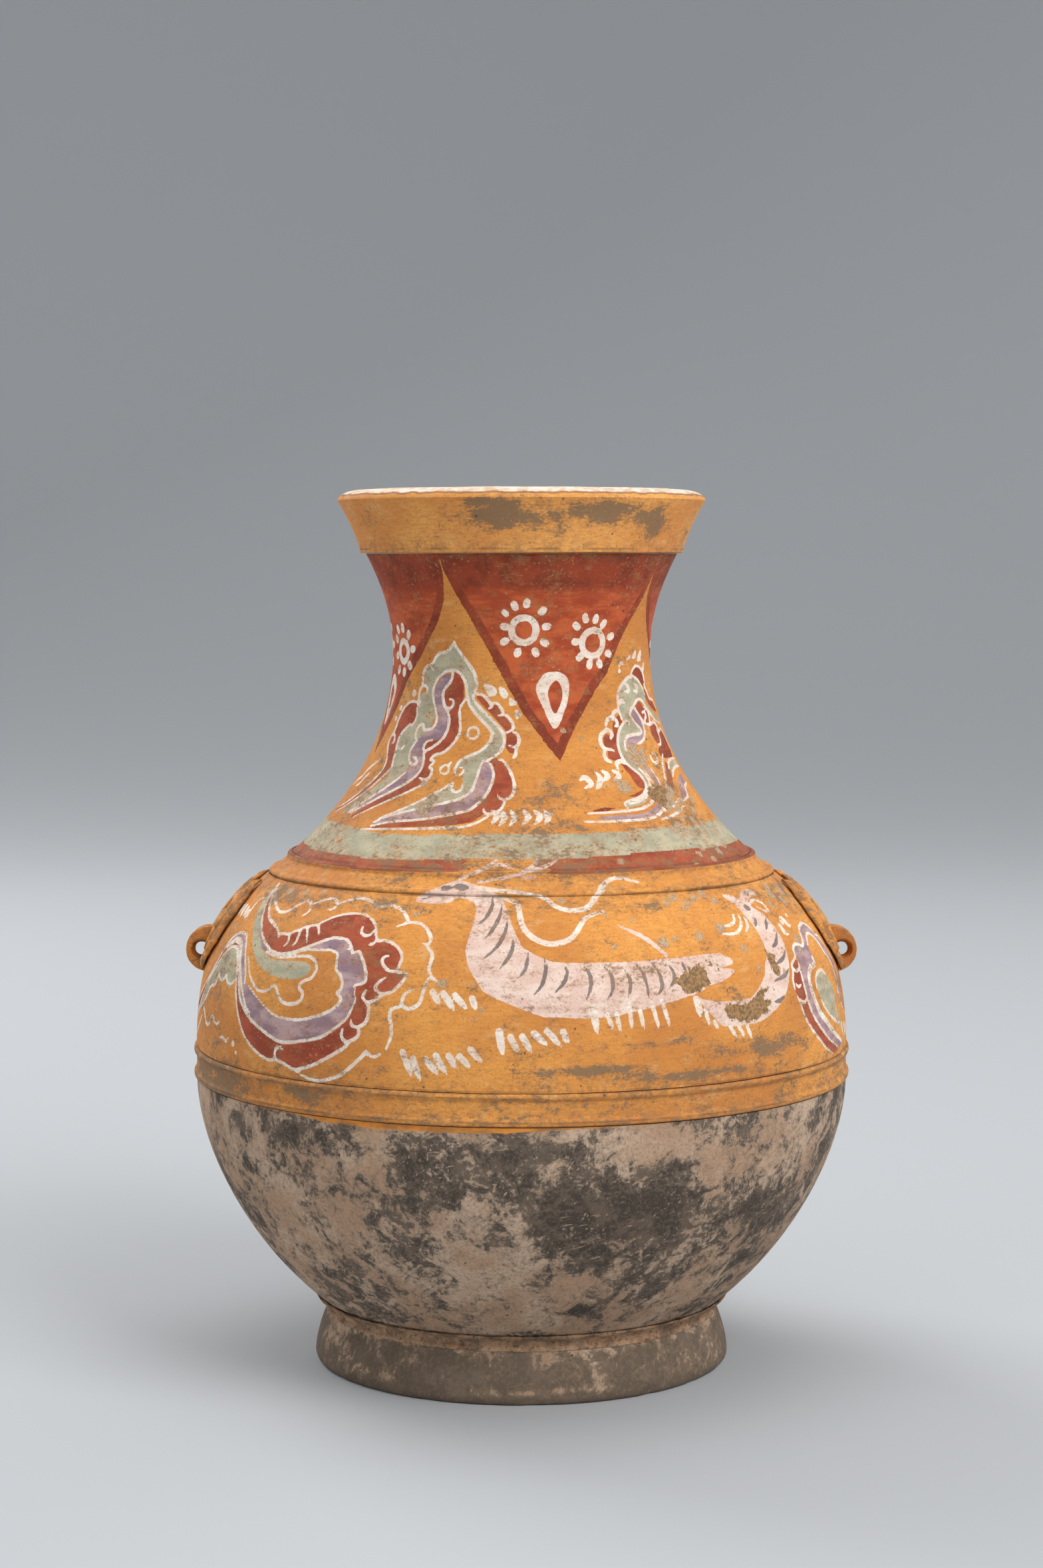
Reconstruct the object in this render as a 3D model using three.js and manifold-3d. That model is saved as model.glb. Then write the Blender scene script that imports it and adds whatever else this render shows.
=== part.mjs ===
// A large painted pottery hu, the pear-shaped jar with a flared mouth, in millimetres with +Z up.
// It is thrown in courses that stand on each other and are luted with slip: a foot ring, a lower bowl,
// an upper belly, a neck and a mouth collar. Two clay straps with raised edges cover the belly and the
// shoulder seams, and a coil of clay fills the corner over the foot. Each side carries a press-moulded
// beast mask with a pierced lug in its jaw. The origin is the centre of the foot's resting face.
import * as THREE from "three";
import { mergeVertices } from "three/addons/utils/BufferGeometryUtils.js";
import Module from "manifold-3d";

const wasm = await Module();
wasm.setup();

// How finely the forms are cut
const TURNS = 48; // flats round the axis, a multiple of four
const BOWL_STEPS = 7;
const DOME_STEPS = 6;
const NECK_STEPS = 5;
const THROAT_STEPS = 3;
const LIP_STEPS = 3;
const SEAT_STEPS = 3;
const MASK_COLUMNS = 18;
const MASK_ROWS = 12;
const LUG_ARC_STEPS = 10;
const MERGE_DISTANCE = 1e-4;

// Slip and luted laps
const SLIP_GAP = 0.3; // slip between two luted faces
const LAP_DEPTH = 3; // how far a course's tongue drops into the one below
const LAP_WIDTH = 3; // level shoulder outside that tongue

// Foot ring
const FOOT_RADIUS = 107.8;
const FOOT_TOP_RADIUS = 100;
const FOOT_WALL = 11;
const FOOT_HOLLOW = 0.6; // how much the flared wall is drawn in
const FOOT_BEVEL_WIDTH = 2.6;
const FOOT_BEVEL_HEIGHT = 6;

// Coil in the corner over the foot
const COIL_REACH = 4.2;
const COIL_HOLLOW = 0.5;

// Lower bowl
const BASE_RADIUS = 78;
const BASE_HEIGHT = 18; // clear of the table
const BOWL_HEIGHT = 131.5; // from the base to the belly strap
const BASE_SLOPE = 21; // degrees above level where the side leaves the base
const BOWL_REACH = 0.306; // length of a curve's handles, as a share of its span
const FLOOR_THICKNESS = 11;
const BOWL_WALL = 10;

// Belly strap
const BELLY_RADIUS = 168.6;
const BELLY_STRAP_WIDTH = 16;

// Upper belly
const DOME_HEIGHT = 88.5; // from the belly strap to the shoulder strap
const DOME_WALL = 9;
const DOME_SLOPE = 37; // degrees above level where it meets the shoulder strap
const DOME_REACH = 0.387;
const SHOULDER_RADIUS = 130.5;

// Shoulder strap, and both straps' ridges
const SHOULDER_STRAP_WIDTH = 16;
const SHOULDER_STRAP_SLOPE = 41;
const STRAP_INLAY = 2.5; // how deep a strap is let into the wall
const RIDGE_RISE = 1.1;
const RIDGE_INSET = 2.2; // from a strap's edge to the crest of its ridge
const STRAP_HOLLOW = 0.3; // the strap's middle, below its ridges' feet

// Neck
const NECK_WALL = 8;
const NECK_FOOT_SLOPE = 40.5;
const NECK_REACH = 0.348;
const NECK_HEIGHT = 101.5; // from the shoulder strap to the throat
const THROAT_RADIUS = 66.6;
const THROAT_RISE = 51.5; // from the throat to the collar
const THROAT_REACH = 0.365;
const NECK_TOP_RADIUS = 80.3;
const NECK_TOP_SLOPE = 62.5;

// Mouth collar
const COLLAR_OVERHANG = 2.9;
const COLLAR_HEIGHT = 27; // from the overhang to the widest edge
const COLLAR_HOLLOW = 1.2; // how much the flared outside is drawn in
const COLLAR_INNER_REACH = 0.4;
const MOUTH_RADIUS = 94.8;
const LIP_RISE = 5.5; // from the widest edge to the level top
const LIP_SLOPE_WIDTH = 11;
const LIP_EDGE_SLOPE = 98; // degrees above level outwards, where the lip leaves the widest edge
const LIP_REACH = 0.3;
const LIP_LAND_WIDTH = 4; // level top, where a lid would rest
const LIP_ROUND = 1.6;

// Beast mask, its half-widths from the jaw up to the crown
const MASK_TOP_MARGIN = 3; // below the shoulder strap
const MASK_HEIGHT = 48;
const MASK_JAW_HALF_WIDTH = 17;
const MASK_CHEEK_HALF_WIDTH = 38;
const MASK_CHEEK_HEIGHT = 16;
const MASK_BROW_HALF_WIDTH = 40;
const MASK_BROW_HEIGHT = 32;
const MASK_CROWN_HALF_WIDTH = 30;
const MASK_CROWN_DIP = 7; // between the crest and the horns
const CREST_HALF_WIDTH = 7;
const HORN_MIDDLE = 24; // across from the crest
const HORN_HALF_WIDTH = 6;
const MASK_EDGE = 2; // thickness at the outline
const MASK_BORDER = 4; // plain edge before the relief has risen

// Relief above that thickness. Across and up give a boss's middle from the mask's centre line and jaw,
// and halfAcross and halfUp how far it reaches.
const EYE = { rise: 2.1, across: 16, up: 26, halfAcross: 6, halfUp: 5.5 };
const CHEEK = { rise: 1.4, across: 25, up: 12, halfAcross: 8, halfUp: 6 };
const SNOUT = { rise: 2.2, across: 0, up: 20, halfAcross: 8, halfUp: 9 };
const FOREHEAD = { rise: 1.8, across: 0, up: 38, halfAcross: 5, halfUp: 9 };
const EAR = { rise: 1.6, across: 34, up: 30, halfAcross: 4, halfUp: 8 };
const BROW_RISE = 1.7;
const BROW_RADIUS = 11.5; // of its arch, round the eye
const BROW_HALF_WIDTH = 2.8;

// Pierced lug
const LUG_RISE = 10; // its hole above the mask's jaw
const LUG_STANDOFF = 5; // from the wall to the middle of the hole
const LUG_HALF_HEIGHT = 12.5;
const LUG_REACH = 7.9; // outwards of the middle of the hole
const LUG_THICKNESS = 13; // along the hole
const LUG_HOLE_RADIUS = 4.5; // at the lug's faces
const LUG_EDGE_ROUND = 1.4; // the hole narrows by as much inside

const clay = new THREE.MeshStandardMaterial({ color: 0x6f6459, roughness: 0.95, metalness: 0 });
const lutingClay = new THREE.MeshStandardMaterial({ color: 0x8a6a50, roughness: 1, metalness: 0 });
const ochreSlip = new THREE.MeshStandardMaterial({ color: 0xd0853a, roughness: 0.9, metalness: 0 });
const whiteSlip = new THREE.MeshStandardMaterial({ color: 0xd8c3ad, roughness: 0.9, metalness: 0 });

const at = (radius, height) => new THREE.Vector2(radius, height);
const radians = THREE.MathUtils.degToRad;
const heading = (degrees) => at(Math.cos(radians(degrees)), Math.sin(radians(degrees)));

// A wall's thickness measured level, where its side rises at an angle in degrees.
const levelThickness = (wall, slope) => wall / Math.sin(radians(slope));

// A thrown curve from one point to another, leaving and arriving at angles in degrees above level
// outwards. Reach is the length of its handles as a share of the straight distance.
function thrown(from, fromAngle, to, toAngle, reach) {
  const handle = reach * from.distanceTo(to);
  const leaving = from.clone().addScaledVector(heading(fromAngle), handle);
  const arriving = to.clone().addScaledVector(heading(toAngle), -handle);
  return new THREE.CubicBezierCurve(from, leaving, arriving, to);
}

// The unit normal of a curve at t, on its right hand, which is outside on a rising curve.
function outwards(curve, t) {
  const tangent = curve.getTangent(t);
  return at(tangent.y, -tangent.x);
}

// The point of a curve at t, moved off it by a distance.
const offCurve = (curve, t, distance) =>
  curve.getPoint(t).addScaledVector(outwards(curve, t), distance);

// Where a curve's x or y, which rises or falls all along it, has a value. Found by halving.
function whereOnCurve(curve, coordinate, value) {
  const halvings = 40;
  const rises = curve.getPoint(1)[coordinate] > curve.getPoint(0)[coordinate];
  let low = 0;
  let high = 1;
  for (let i = 0; i < halvings; i += 1) {
    const middle = (low + high) / 2;
    if (curve.getPoint(middle)[coordinate] < value === rises) low = middle;
    else high = middle;
  }
  return low;
}

// A ring turned round the axis from a profile that goes up the outside and down the inside. A profile
// that starts and ends on the axis makes a solid without a hole.
function turned(profile) {
  const closed = profile[0].x > 0 ? [...profile, profile[0].clone()] : profile;
  return new THREE.LatheGeometry(closed, TURNS).rotateX(Math.PI / 2);
}

// The joints between the courses, from the table up
const beltLow = BASE_HEIGHT + BOWL_HEIGHT;
const beltHigh = beltLow + BELLY_STRAP_WIDTH;
const beltSeam = (beltLow + beltHigh) / 2;
const shoulder = at(SHOULDER_RADIUS, beltHigh + DOME_HEIGHT);
const slant = heading(180 - SHOULDER_STRAP_SLOPE);
const slantOut = at(slant.y, -slant.x);
const neckFoot = shoulder.clone().addScaledVector(slant, SHOULDER_STRAP_WIDTH);
const shoulderSeam = (shoulder.y + neckFoot.y) / 2;
const throat = at(THROAT_RADIUS, neckFoot.y + NECK_HEIGHT);
const neckTop = at(NECK_TOP_RADIUS, throat.y + THROAT_RISE);
const mouthEdge = at(MOUTH_RADIUS, neckTop.y + COLLAR_HEIGHT);
const rim = mouthEdge.y + LIP_RISE;

// Outsides of the thrown courses
const bowlOutside = thrown(
  at(BASE_RADIUS, BASE_HEIGHT), BASE_SLOPE, at(BELLY_RADIUS, beltLow), 90, BOWL_REACH,
);
const domeOutside = thrown(at(BELLY_RADIUS, beltHigh), 90, shoulder, 180 - DOME_SLOPE, DOME_REACH);
const neckOutside = thrown(neckFoot, 180 - NECK_FOOT_SLOPE, throat, 90, NECK_REACH);
const throatOutside = thrown(throat, 90, neckTop, NECK_TOP_SLOPE, THROAT_REACH);

// The radius at a height, a depth inside the straight wall under the shoulder strap.
function slantRadius(height, depth) {
  const surface = shoulder.clone().addScaledVector(slantOut, -depth);
  return surface.x + ((height - surface.y) * slant.x) / slant.y;
}

// The level shoulder and rebate that a course offers to the one above, from the outside in.
function lapTop(height, outer, innerAt) {
  const lap = outer - LAP_WIDTH;
  const floor = height - LAP_DEPTH;
  return [at(outer, height), at(lap, height), at(lap, floor), at(innerAt(floor), floor)];
}

// The tongue that drops into that rebate, from the inside out.
function lapBottom(height, outer, innerAt) {
  const lap = outer - LAP_WIDTH - SLIP_GAP;
  const tip = height - LAP_DEPTH + SLIP_GAP;
  return [at(innerAt(tip), tip), at(lap, tip), at(lap, height), at(outer, height)];
}

// The foot's outer wall, from its top edge under the bowl down to the bevel
const footTopAt = whereOnCurve(bowlOutside, "x", FOOT_TOP_RADIUS);
const footTop = offCurve(bowlOutside, footTopAt, SLIP_GAP);
const footEdge = at(FOOT_RADIUS, FOOT_BEVEL_HEIGHT);
const footDown = footEdge.clone().sub(footTop).normalize();
const footOut = at(-footDown.y, footDown.x);

// A splayed ring whose top is hollowed to seat the round bowl.
function footRing() {
  const waist = footEdge.clone().lerp(footTop, 0.5).addScaledVector(footOut, -FOOT_HOLLOW);
  const innerTopAt = whereOnCurve(bowlOutside, "x", FOOT_TOP_RADIUS - FOOT_WALL);
  const seat = [];
  for (let i = 0; i <= SEAT_STEPS; i += 1) {
    const t = THREE.MathUtils.lerp(footTopAt, innerTopAt, i / SEAT_STEPS);
    seat.push(offCurve(bowlOutside, t, SLIP_GAP));
  }
  const restOuter = FOOT_RADIUS - FOOT_BEVEL_WIDTH;
  return turned([at(restOuter, 0), footEdge, waist, ...seat, at(restOuter - FOOT_WALL, 0)]);
}

// A hollow-faced fillet of clay in the corner between the foot and the bowl.
function footCoil() {
  const touchAt = whereOnCurve(bowlOutside, "x", FOOT_TOP_RADIUS + COIL_REACH);
  const bowlTouch = offCurve(bowlOutside, touchAt, SLIP_GAP);
  const footTouch = footTop.clone().addScaledVector(footDown, COIL_REACH);
  footTouch.addScaledVector(footOut, SLIP_GAP);
  const alongBowl = bowlTouch.clone().sub(footTop).normalize();
  const middle = alongBowl.clone().add(footDown).normalize();
  const halfCorner = Math.acos(alongBowl.dot(middle));
  const corner = footTop.clone().addScaledVector(middle, (2 * SLIP_GAP) / Math.sin(halfCorner));
  const face = bowlTouch.clone().lerp(footTouch, 0.5).addScaledVector(middle, -COIL_HOLLOW);
  return turned([footTouch, face, bowlTouch, corner]);
}

// The round-bottomed bowl with a flat base, let in at its top for the belly strap.
function lowerBowl() {
  const floor = BASE_HEIGHT + FLOOR_THICKNESS;
  const floorAt = whereOnCurve(bowlOutside, "y", floor);
  const slope = THREE.MathUtils.radToDeg(bowlOutside.getTangent(floorAt).angle());
  const floorEdge = at(bowlOutside.getPoint(floorAt).x - levelThickness(BOWL_WALL, slope), floor);
  const innerRadius = BELLY_RADIUS - BOWL_WALL;
  const inside = thrown(floorEdge, slope, at(innerRadius, beltLow), 90, BOWL_REACH);
  const letIn = BELLY_RADIUS - STRAP_INLAY;
  return turned([
    at(0, BASE_HEIGHT),
    ...bowlOutside.getPoints(BOWL_STEPS),
    at(letIn, beltLow),
    ...lapTop(beltSeam, letIn, () => innerRadius),
    ...inside.getPoints(BOWL_STEPS - 1).reverse(),
    at(0, floor),
  ]);
}

// The domed upper belly, let in at both ends for the straps.
function upperBelly() {
  const innerRadius = BELLY_RADIUS - DOME_WALL;
  const insideTop = at(slantRadius(shoulder.y, DOME_WALL), shoulder.y);
  const inside = thrown(at(innerRadius, beltHigh), 90, insideTop, 180 - DOME_SLOPE, DOME_REACH);
  const letIn = BELLY_RADIUS - STRAP_INLAY;
  const shoulderLap = slantRadius(shoulderSeam, STRAP_INLAY);
  return turned([
    ...lapBottom(beltSeam, letIn, () => innerRadius),
    at(letIn, beltHigh),
    ...domeOutside.getPoints(DOME_STEPS),
    shoulder.clone().addScaledVector(slantOut, -STRAP_INLAY),
    ...lapTop(shoulderSeam, shoulderLap, (height) => slantRadius(height, DOME_WALL)),
    ...inside.getPoints(DOME_STEPS).reverse(),
  ]);
}

// The waisted neck, standing on the shoulder seam and carrying the collar.
function neck() {
  const footInner = at(slantRadius(neckFoot.y, NECK_WALL), neckFoot.y);
  const throatInner = at(THROAT_RADIUS - NECK_WALL, throat.y);
  const topInner = at(NECK_TOP_RADIUS - levelThickness(NECK_WALL, NECK_TOP_SLOPE), neckTop.y);
  const insideLow = thrown(footInner, 180 - NECK_FOOT_SLOPE, throatInner, 90, NECK_REACH);
  const insideHigh = thrown(throatInner, 90, topInner, NECK_TOP_SLOPE, THROAT_REACH);
  const lapAt = whereOnCurve(insideHigh, "y", neckTop.y - LAP_DEPTH);
  const insideTop = [];
  for (let i = THROAT_STEPS - 1; i > 0; i -= 1) {
    insideTop.push(insideHigh.getPoint((lapAt * i) / THROAT_STEPS));
  }
  const shoulderLap = slantRadius(shoulderSeam, STRAP_INLAY);
  return turned([
    ...lapBottom(shoulderSeam, shoulderLap, (height) => slantRadius(height, NECK_WALL)),
    neckFoot.clone().addScaledVector(slantOut, -STRAP_INLAY),
    ...neckOutside.getPoints(NECK_STEPS),
    ...throatOutside.getPoints(THROAT_STEPS).slice(1, -1),
    ...lapTop(neckTop.y, neckTop.x, () => insideHigh.getPoint(lapAt).x),
    ...insideTop,
    ...insideLow.getPoints(NECK_STEPS).reverse(),
  ]);
}

// The flared collar, which overhangs the neck and ends in a broad sloped lip.
function mouthCollar() {
  const ledge = at(NECK_TOP_RADIUS + COLLAR_OVERHANG, neckTop.y);
  const flare = mouthEdge.clone().sub(ledge).normalize();
  const hollow = at(flare.y, -flare.x).multiplyScalar(-COLLAR_HOLLOW);
  const landOuter = MOUTH_RADIUS - LIP_SLOPE_WIDTH;
  const landInner = landOuter - LIP_LAND_WIDTH;
  const lip = thrown(mouthEdge, LIP_EDGE_SLOPE, at(landOuter, rim), 180, LIP_REACH);
  const tongueInner = NECK_TOP_RADIUS - levelThickness(NECK_WALL, NECK_TOP_SLOPE);
  const tongueTip = at(tongueInner, neckTop.y - LAP_DEPTH + SLIP_GAP);
  const lipInner = at(landInner - LIP_ROUND, rim - LIP_ROUND);
  const inside = thrown(tongueTip, NECK_TOP_SLOPE, lipInner, 90, COLLAR_INNER_REACH);
  return turned([
    ...lapBottom(neckTop.y, neckTop.x, () => tongueInner),
    ledge,
    ledge.clone().lerp(mouthEdge, 0.5).add(hollow),
    ...lip.getPoints(LIP_STEPS),
    at(landInner, rim),
    ...inside.getPoints(THROAT_STEPS).slice(1).reverse(),
  ]);
}

// A strap over a seam, laid between two points of the wall's outside and let into the wall: a ridge
// along each edge and a slightly hollow middle.
function strap(low, high) {
  const along = high.clone().sub(low).normalize();
  const out = at(along.y, -along.x);
  const width = low.distanceTo(high);
  const place = (distance, rise) =>
    low.clone().addScaledVector(along, distance).addScaledVector(out, rise);
  const back = SLIP_GAP - STRAP_INLAY;
  return turned([
    place(SLIP_GAP, back),
    place(SLIP_GAP, 0),
    place(RIDGE_INSET, RIDGE_RISE),
    place(2 * RIDGE_INSET, -STRAP_HOLLOW),
    place(width - 2 * RIDGE_INSET, -STRAP_HOLLOW),
    place(width - RIDGE_INSET, RIDGE_RISE),
    place(width - SLIP_GAP, 0),
    place(width - SLIP_GAP, back),
  ]);
}

// A closed slab over a grid, from functions that place its back and its front for a share across,
// from -1 to 1, and a share up, from 0 to 1.
function slab(columns, rows, back, front) {
  const stride = rows + 1;
  const sheet = (columns + 1) * stride;
  const positions = [];
  for (const place of [back, front]) {
    for (let i = 0; i <= columns; i += 1) {
      for (let j = 0; j <= rows; j += 1) {
        positions.push(...place((2 * i) / columns - 1, j / rows).toArray());
      }
    }
  }
  const index = [];
  const quad = (a, b, c, d) => index.push(a, b, c, a, c, d);
  const rim = (a, b) => quad(a, b, sheet + b, sheet + a);
  for (let i = 0; i < columns; i += 1) {
    for (let j = 0; j < rows; j += 1) {
      const low = i * stride + j;
      const next = low + stride;
      quad(low, low + 1, next + 1, next);
      quad(sheet + low, sheet + next, sheet + next + 1, sheet + low + 1);
    }
    rim(i * stride, (i + 1) * stride);
    rim((i + 1) * stride + rows, i * stride + rows);
  }
  for (let j = 0; j < rows; j += 1) {
    rim(j + 1, j);
    rim(columns * stride + j, columns * stride + j + 1);
  }
  const geometry = new THREE.BufferGeometry();
  geometry.setAttribute("position", new THREE.Float32BufferAttribute(positions, 3));
  return geometry.setIndex(index);
}

// The mask's half-width against the height above its jaw
const maskHalfWidth = new THREE.SplineCurve([
  at(MASK_JAW_HALF_WIDTH, 0),
  at(MASK_CHEEK_HALF_WIDTH, MASK_CHEEK_HEIGHT),
  at(MASK_BROW_HALF_WIDTH, MASK_BROW_HEIGHT),
  at(MASK_CROWN_HALF_WIDTH, MASK_HEIGHT),
]);

// A smooth bump of height one, by a distance as a share of its half-width.
const bump = (share) => Math.exp(-(share ** 2));

// A round boss of the mask's relief at a place across and up.
const boss = ({ rise, across, up, halfAcross, halfUp }, side, height) =>
  rise * bump((side - across) / halfAcross) * bump((height - up) / halfUp);

// The height of the mask's top edge above its jaw at a distance from the middle: a crest and two horns.
function maskCrown(side) {
  const crest = bump(side / CREST_HALF_WIDTH);
  const horn = bump((side - HORN_MIDDLE) / HORN_HALF_WIDTH);
  return MASK_HEIGHT - MASK_CROWN_DIP * (1 - Math.max(crest, horn));
}

// The relief over the outline's thickness at a distance from the middle and a height above the jaw.
function maskRelief(side, height, edgeDistance) {
  const eyeDistance = Math.hypot(side - EYE.across, height - EYE.up);
  const overEye = THREE.MathUtils.smoothstep(height - EYE.up, 0, EYE.halfUp);
  const brow = BROW_RISE * bump((eyeDistance - BROW_RADIUS) / BROW_HALF_WIDTH) * overEye;
  const bosses = [EYE, CHEEK, SNOUT, FOREHEAD, EAR].map((shape) => boss(shape, side, height));
  return Math.min(1, edgeDistance / MASK_BORDER) * Math.max(brow, ...bosses);
}

// The jaw and the crown of the mask as heights, and the lug's hole above the jaw
const maskHigh = shoulder.y - MASK_TOP_MARGIN;
const maskLow = maskHigh - MASK_HEIGHT;
const lugHeight = maskLow + LUG_RISE;
const lugWallRadius = domeOutside.getPoint(whereOnCurve(domeOutside, "y", lugHeight)).x;
const lugCentre = at(lugWallRadius + LUG_STANDOFF, lugHeight);

// The lug on the +X side before it is fitted to the wall: a half round drawn inwards, extruded along
// Y with rounded edges. Grown adds slip all round it, and the hole is optional.
function lugBlank(grown, pierced) {
  const halfHeight = LUG_HALF_HEIGHT - LUG_EDGE_ROUND + grown;
  const reach = LUG_REACH + LUG_STANDOFF - LUG_EDGE_ROUND + grown;
  const topAt = whereOnCurve(domeOutside, "y", lugHeight + LUG_HALF_HEIGHT);
  const rootRadius = domeOutside.getPoint(topAt).x - LUG_THICKNESS / 2;
  const outline = new THREE.Shape();
  outline.moveTo(rootRadius, lugHeight - halfHeight);
  outline.absellipse(lugWallRadius, lugHeight, reach, halfHeight, -Math.PI / 2, Math.PI / 2);
  outline.lineTo(rootRadius, lugHeight + halfHeight);
  if (pierced) {
    const hole = new THREE.Path().absarc(lugCentre.x, lugCentre.y, LUG_HOLE_RADIUS, 0, 2 * Math.PI, true);
    outline.holes.push(hole);
  }
  const straight = LUG_THICKNESS - 2 * LUG_EDGE_ROUND + 2 * grown;
  const blank = new THREE.ExtrudeGeometry(outline, {
    depth: straight,
    bevelThickness: LUG_EDGE_ROUND,
    bevelSize: LUG_EDGE_ROUND,
    bevelSegments: 2,
    curveSegments: LUG_ARC_STEPS,
  });
  return blank.rotateX(Math.PI / 2).translate(0, straight / 2, 0);
}

function solidOf(geometry) {
  const bare = geometry.clone();
  bare.deleteAttribute("normal");
  bare.deleteAttribute("uv");
  const merged = mergeVertices(bare, MERGE_DISTANCE);
  const vertProperties = new Float32Array(merged.attributes.position.array);
  const triVerts = new Uint32Array(merged.index.array);
  return new wasm.Manifold(new wasm.Mesh({ numProp: 3, vertProperties, triVerts }));
}

function geometryOf(solid) {
  const mesh = solid.getMesh();
  const geometry = new THREE.BufferGeometry();
  geometry.setAttribute("position", new THREE.BufferAttribute(mesh.vertProperties, 3));
  return geometry.setIndex(new THREE.BufferAttribute(mesh.triVerts, 1));
}

// The lug, cut at its root to bed on the upper belly.
function lug() {
  const skin = [];
  for (let i = 0; i <= DOME_STEPS; i += 1) skin.push(offCurve(domeOutside, i / DOME_STEPS, SLIP_GAP));
  const wall = turned([at(0, skin[0].y), ...skin, at(0, skin[DOME_STEPS].y)]);
  return geometryOf(solidOf(lugBlank(0, true)).subtract(solidOf(wall)));
}

// The mask on the +X side, bedded on the upper belly and notched for the lug.
function mask() {
  const lowAt = whereOnCurve(domeOutside, "y", maskLow);
  const highAt = whereOnCurve(domeOutside, "y", maskHigh);
  const place = (across, share, rise) => {
    const shareUp = (share * maskCrown(Math.abs(across) * MASK_CROWN_HALF_WIDTH)) / MASK_HEIGHT;
    const half = maskHalfWidth.getPoint(shareUp).x;
    const t = THREE.MathUtils.lerp(lowAt, highAt, shareUp);
    const fromSide = (1 - Math.abs(across)) * half;
    const fromEnds = Math.min(share, 1 - share) * MASK_HEIGHT;
    const height = rise(Math.abs(across) * half, shareUp * MASK_HEIGHT, Math.min(fromSide, fromEnds));
    const surface = offCurve(domeOutside, t, SLIP_GAP + height);
    const angle = (across * half) / surface.x;
    return new THREE.Vector3(surface.x * Math.cos(angle), surface.x * Math.sin(angle), surface.y);
  };
  const front = (...where) => MASK_EDGE + maskRelief(...where);
  const blank = slab(
    MASK_COLUMNS,
    MASK_ROWS,
    (across, share) => place(across, share, () => 0),
    (across, share) => place(across, share, front),
  );
  return geometryOf(solidOf(blank).subtract(solidOf(lugBlank(SLIP_GAP, false))));
}

const vessel = new THREE.Group();
function add(name, geometry, material, halfTurn = false) {
  const piece = new THREE.Mesh(geometry, material);
  piece.name = name;
  if (halfTurn) piece.rotation.z = Math.PI;
  vessel.add(piece);
}

add("foot_ring", footRing(), clay);
add("foot_luting_coil", footCoil(), lutingClay);
add("lower_bowl", lowerBowl(), clay);
add("belly_strap", strap(at(BELLY_RADIUS, beltLow), at(BELLY_RADIUS, beltHigh)), ochreSlip);
add("upper_belly", upperBelly(), ochreSlip);
add("shoulder_strap", strap(shoulder, neckFoot), ochreSlip);
add("neck", neck(), ochreSlip);
add("mouth_collar", mouthCollar(), whiteSlip);
add("mask_right", mask(), ochreSlip);
add("lug_right", lug(), ochreSlip);
add("mask_left", mask(), ochreSlip, true);
add("lug_left", lug(), ochreSlip, true);

export default vessel;
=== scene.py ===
"""A painted earthenware jar of the hu form, with a cupped mouth, two beast masks and a bare clay foot."""

import logging
import math
from collections.abc import Callable
from dataclasses import dataclass
from enum import Enum
from typing import Union

import bpy
import numpy as np
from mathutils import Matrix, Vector


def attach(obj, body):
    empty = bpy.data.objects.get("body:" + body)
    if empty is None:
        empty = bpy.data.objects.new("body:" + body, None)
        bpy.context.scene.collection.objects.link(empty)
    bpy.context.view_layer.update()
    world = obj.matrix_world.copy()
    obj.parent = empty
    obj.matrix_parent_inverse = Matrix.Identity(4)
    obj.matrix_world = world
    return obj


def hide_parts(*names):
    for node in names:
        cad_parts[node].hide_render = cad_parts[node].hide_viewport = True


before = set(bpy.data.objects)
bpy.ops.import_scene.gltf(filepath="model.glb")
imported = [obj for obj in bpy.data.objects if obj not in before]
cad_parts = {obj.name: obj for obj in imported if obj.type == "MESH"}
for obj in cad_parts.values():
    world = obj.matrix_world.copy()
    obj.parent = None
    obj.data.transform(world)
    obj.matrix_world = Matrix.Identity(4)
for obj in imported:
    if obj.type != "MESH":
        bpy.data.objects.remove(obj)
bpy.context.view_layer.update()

LOG = logging.getLogger("hu_vase")
MM = 0.001
BODY = "root"
WELD = 1e-6
TINY = 1e-9
FAR = 6.0
HALF_TURN = 180.0

Spot = tuple[float, float]
Flat = tuple[float, ...]
Colour = tuple[float, float, float, float]


class Slot(Enum):
    """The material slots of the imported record."""

    BARE = "bare_clay"
    LUTING = "luting_clay"
    OCHRE = "ochre_slip"
    WHITE = "white_slip"


class Pigment(Enum):
    """Each layer of paint or wear, by the name of the vertex attribute that holds its edge."""

    BRICK = "brick"
    RED = "red"
    GREEN = "green"
    MAUVE = "mauve"
    BONE = "bone"
    GREY = "grey"
    WHITE = "white"
    WORN = "worn"
    CRUST = "crust"
    SLIP = "slip"
    SOOT = "soot"
    HOLLOW = "hollow"


def colour(red: int, green: int, blue: int) -> Colour:
    """Turns a colour as a screen shows it into the linear values that a shader takes.

    Args:
        red: Red from 0 to 255.
        green: Green from 0 to 255.
        blue: Blue from 0 to 255.

    Returns:
        The linear red, green, blue and a full alpha.
    """
    parts = [value / 255 for value in (red, green, blue)]
    linear = [part / 12.92 if part <= 0.04045 else ((part + 0.055) / 1.055) ** 2.4 for part in parts]
    return (linear[0], linear[1], linear[2], 1.0)


# The painting, written as marks in degrees round from the front and millimetres up from the ground.


@dataclass(frozen=True)
class Stroke:
    """One pull of a pointed brush.

    Attributes:
        pigment: The layer that it is painted in.
        width: Its greatest width, in millimetres.
        path: Angle and height of each point that the brush goes through.
        start: Share of the width where the brush lands.
        stop: Share of the width where it lifts off.
    """

    pigment: Pigment
    width: float
    path: Flat
    start: float = 0.75
    stop: float = 0.6


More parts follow.
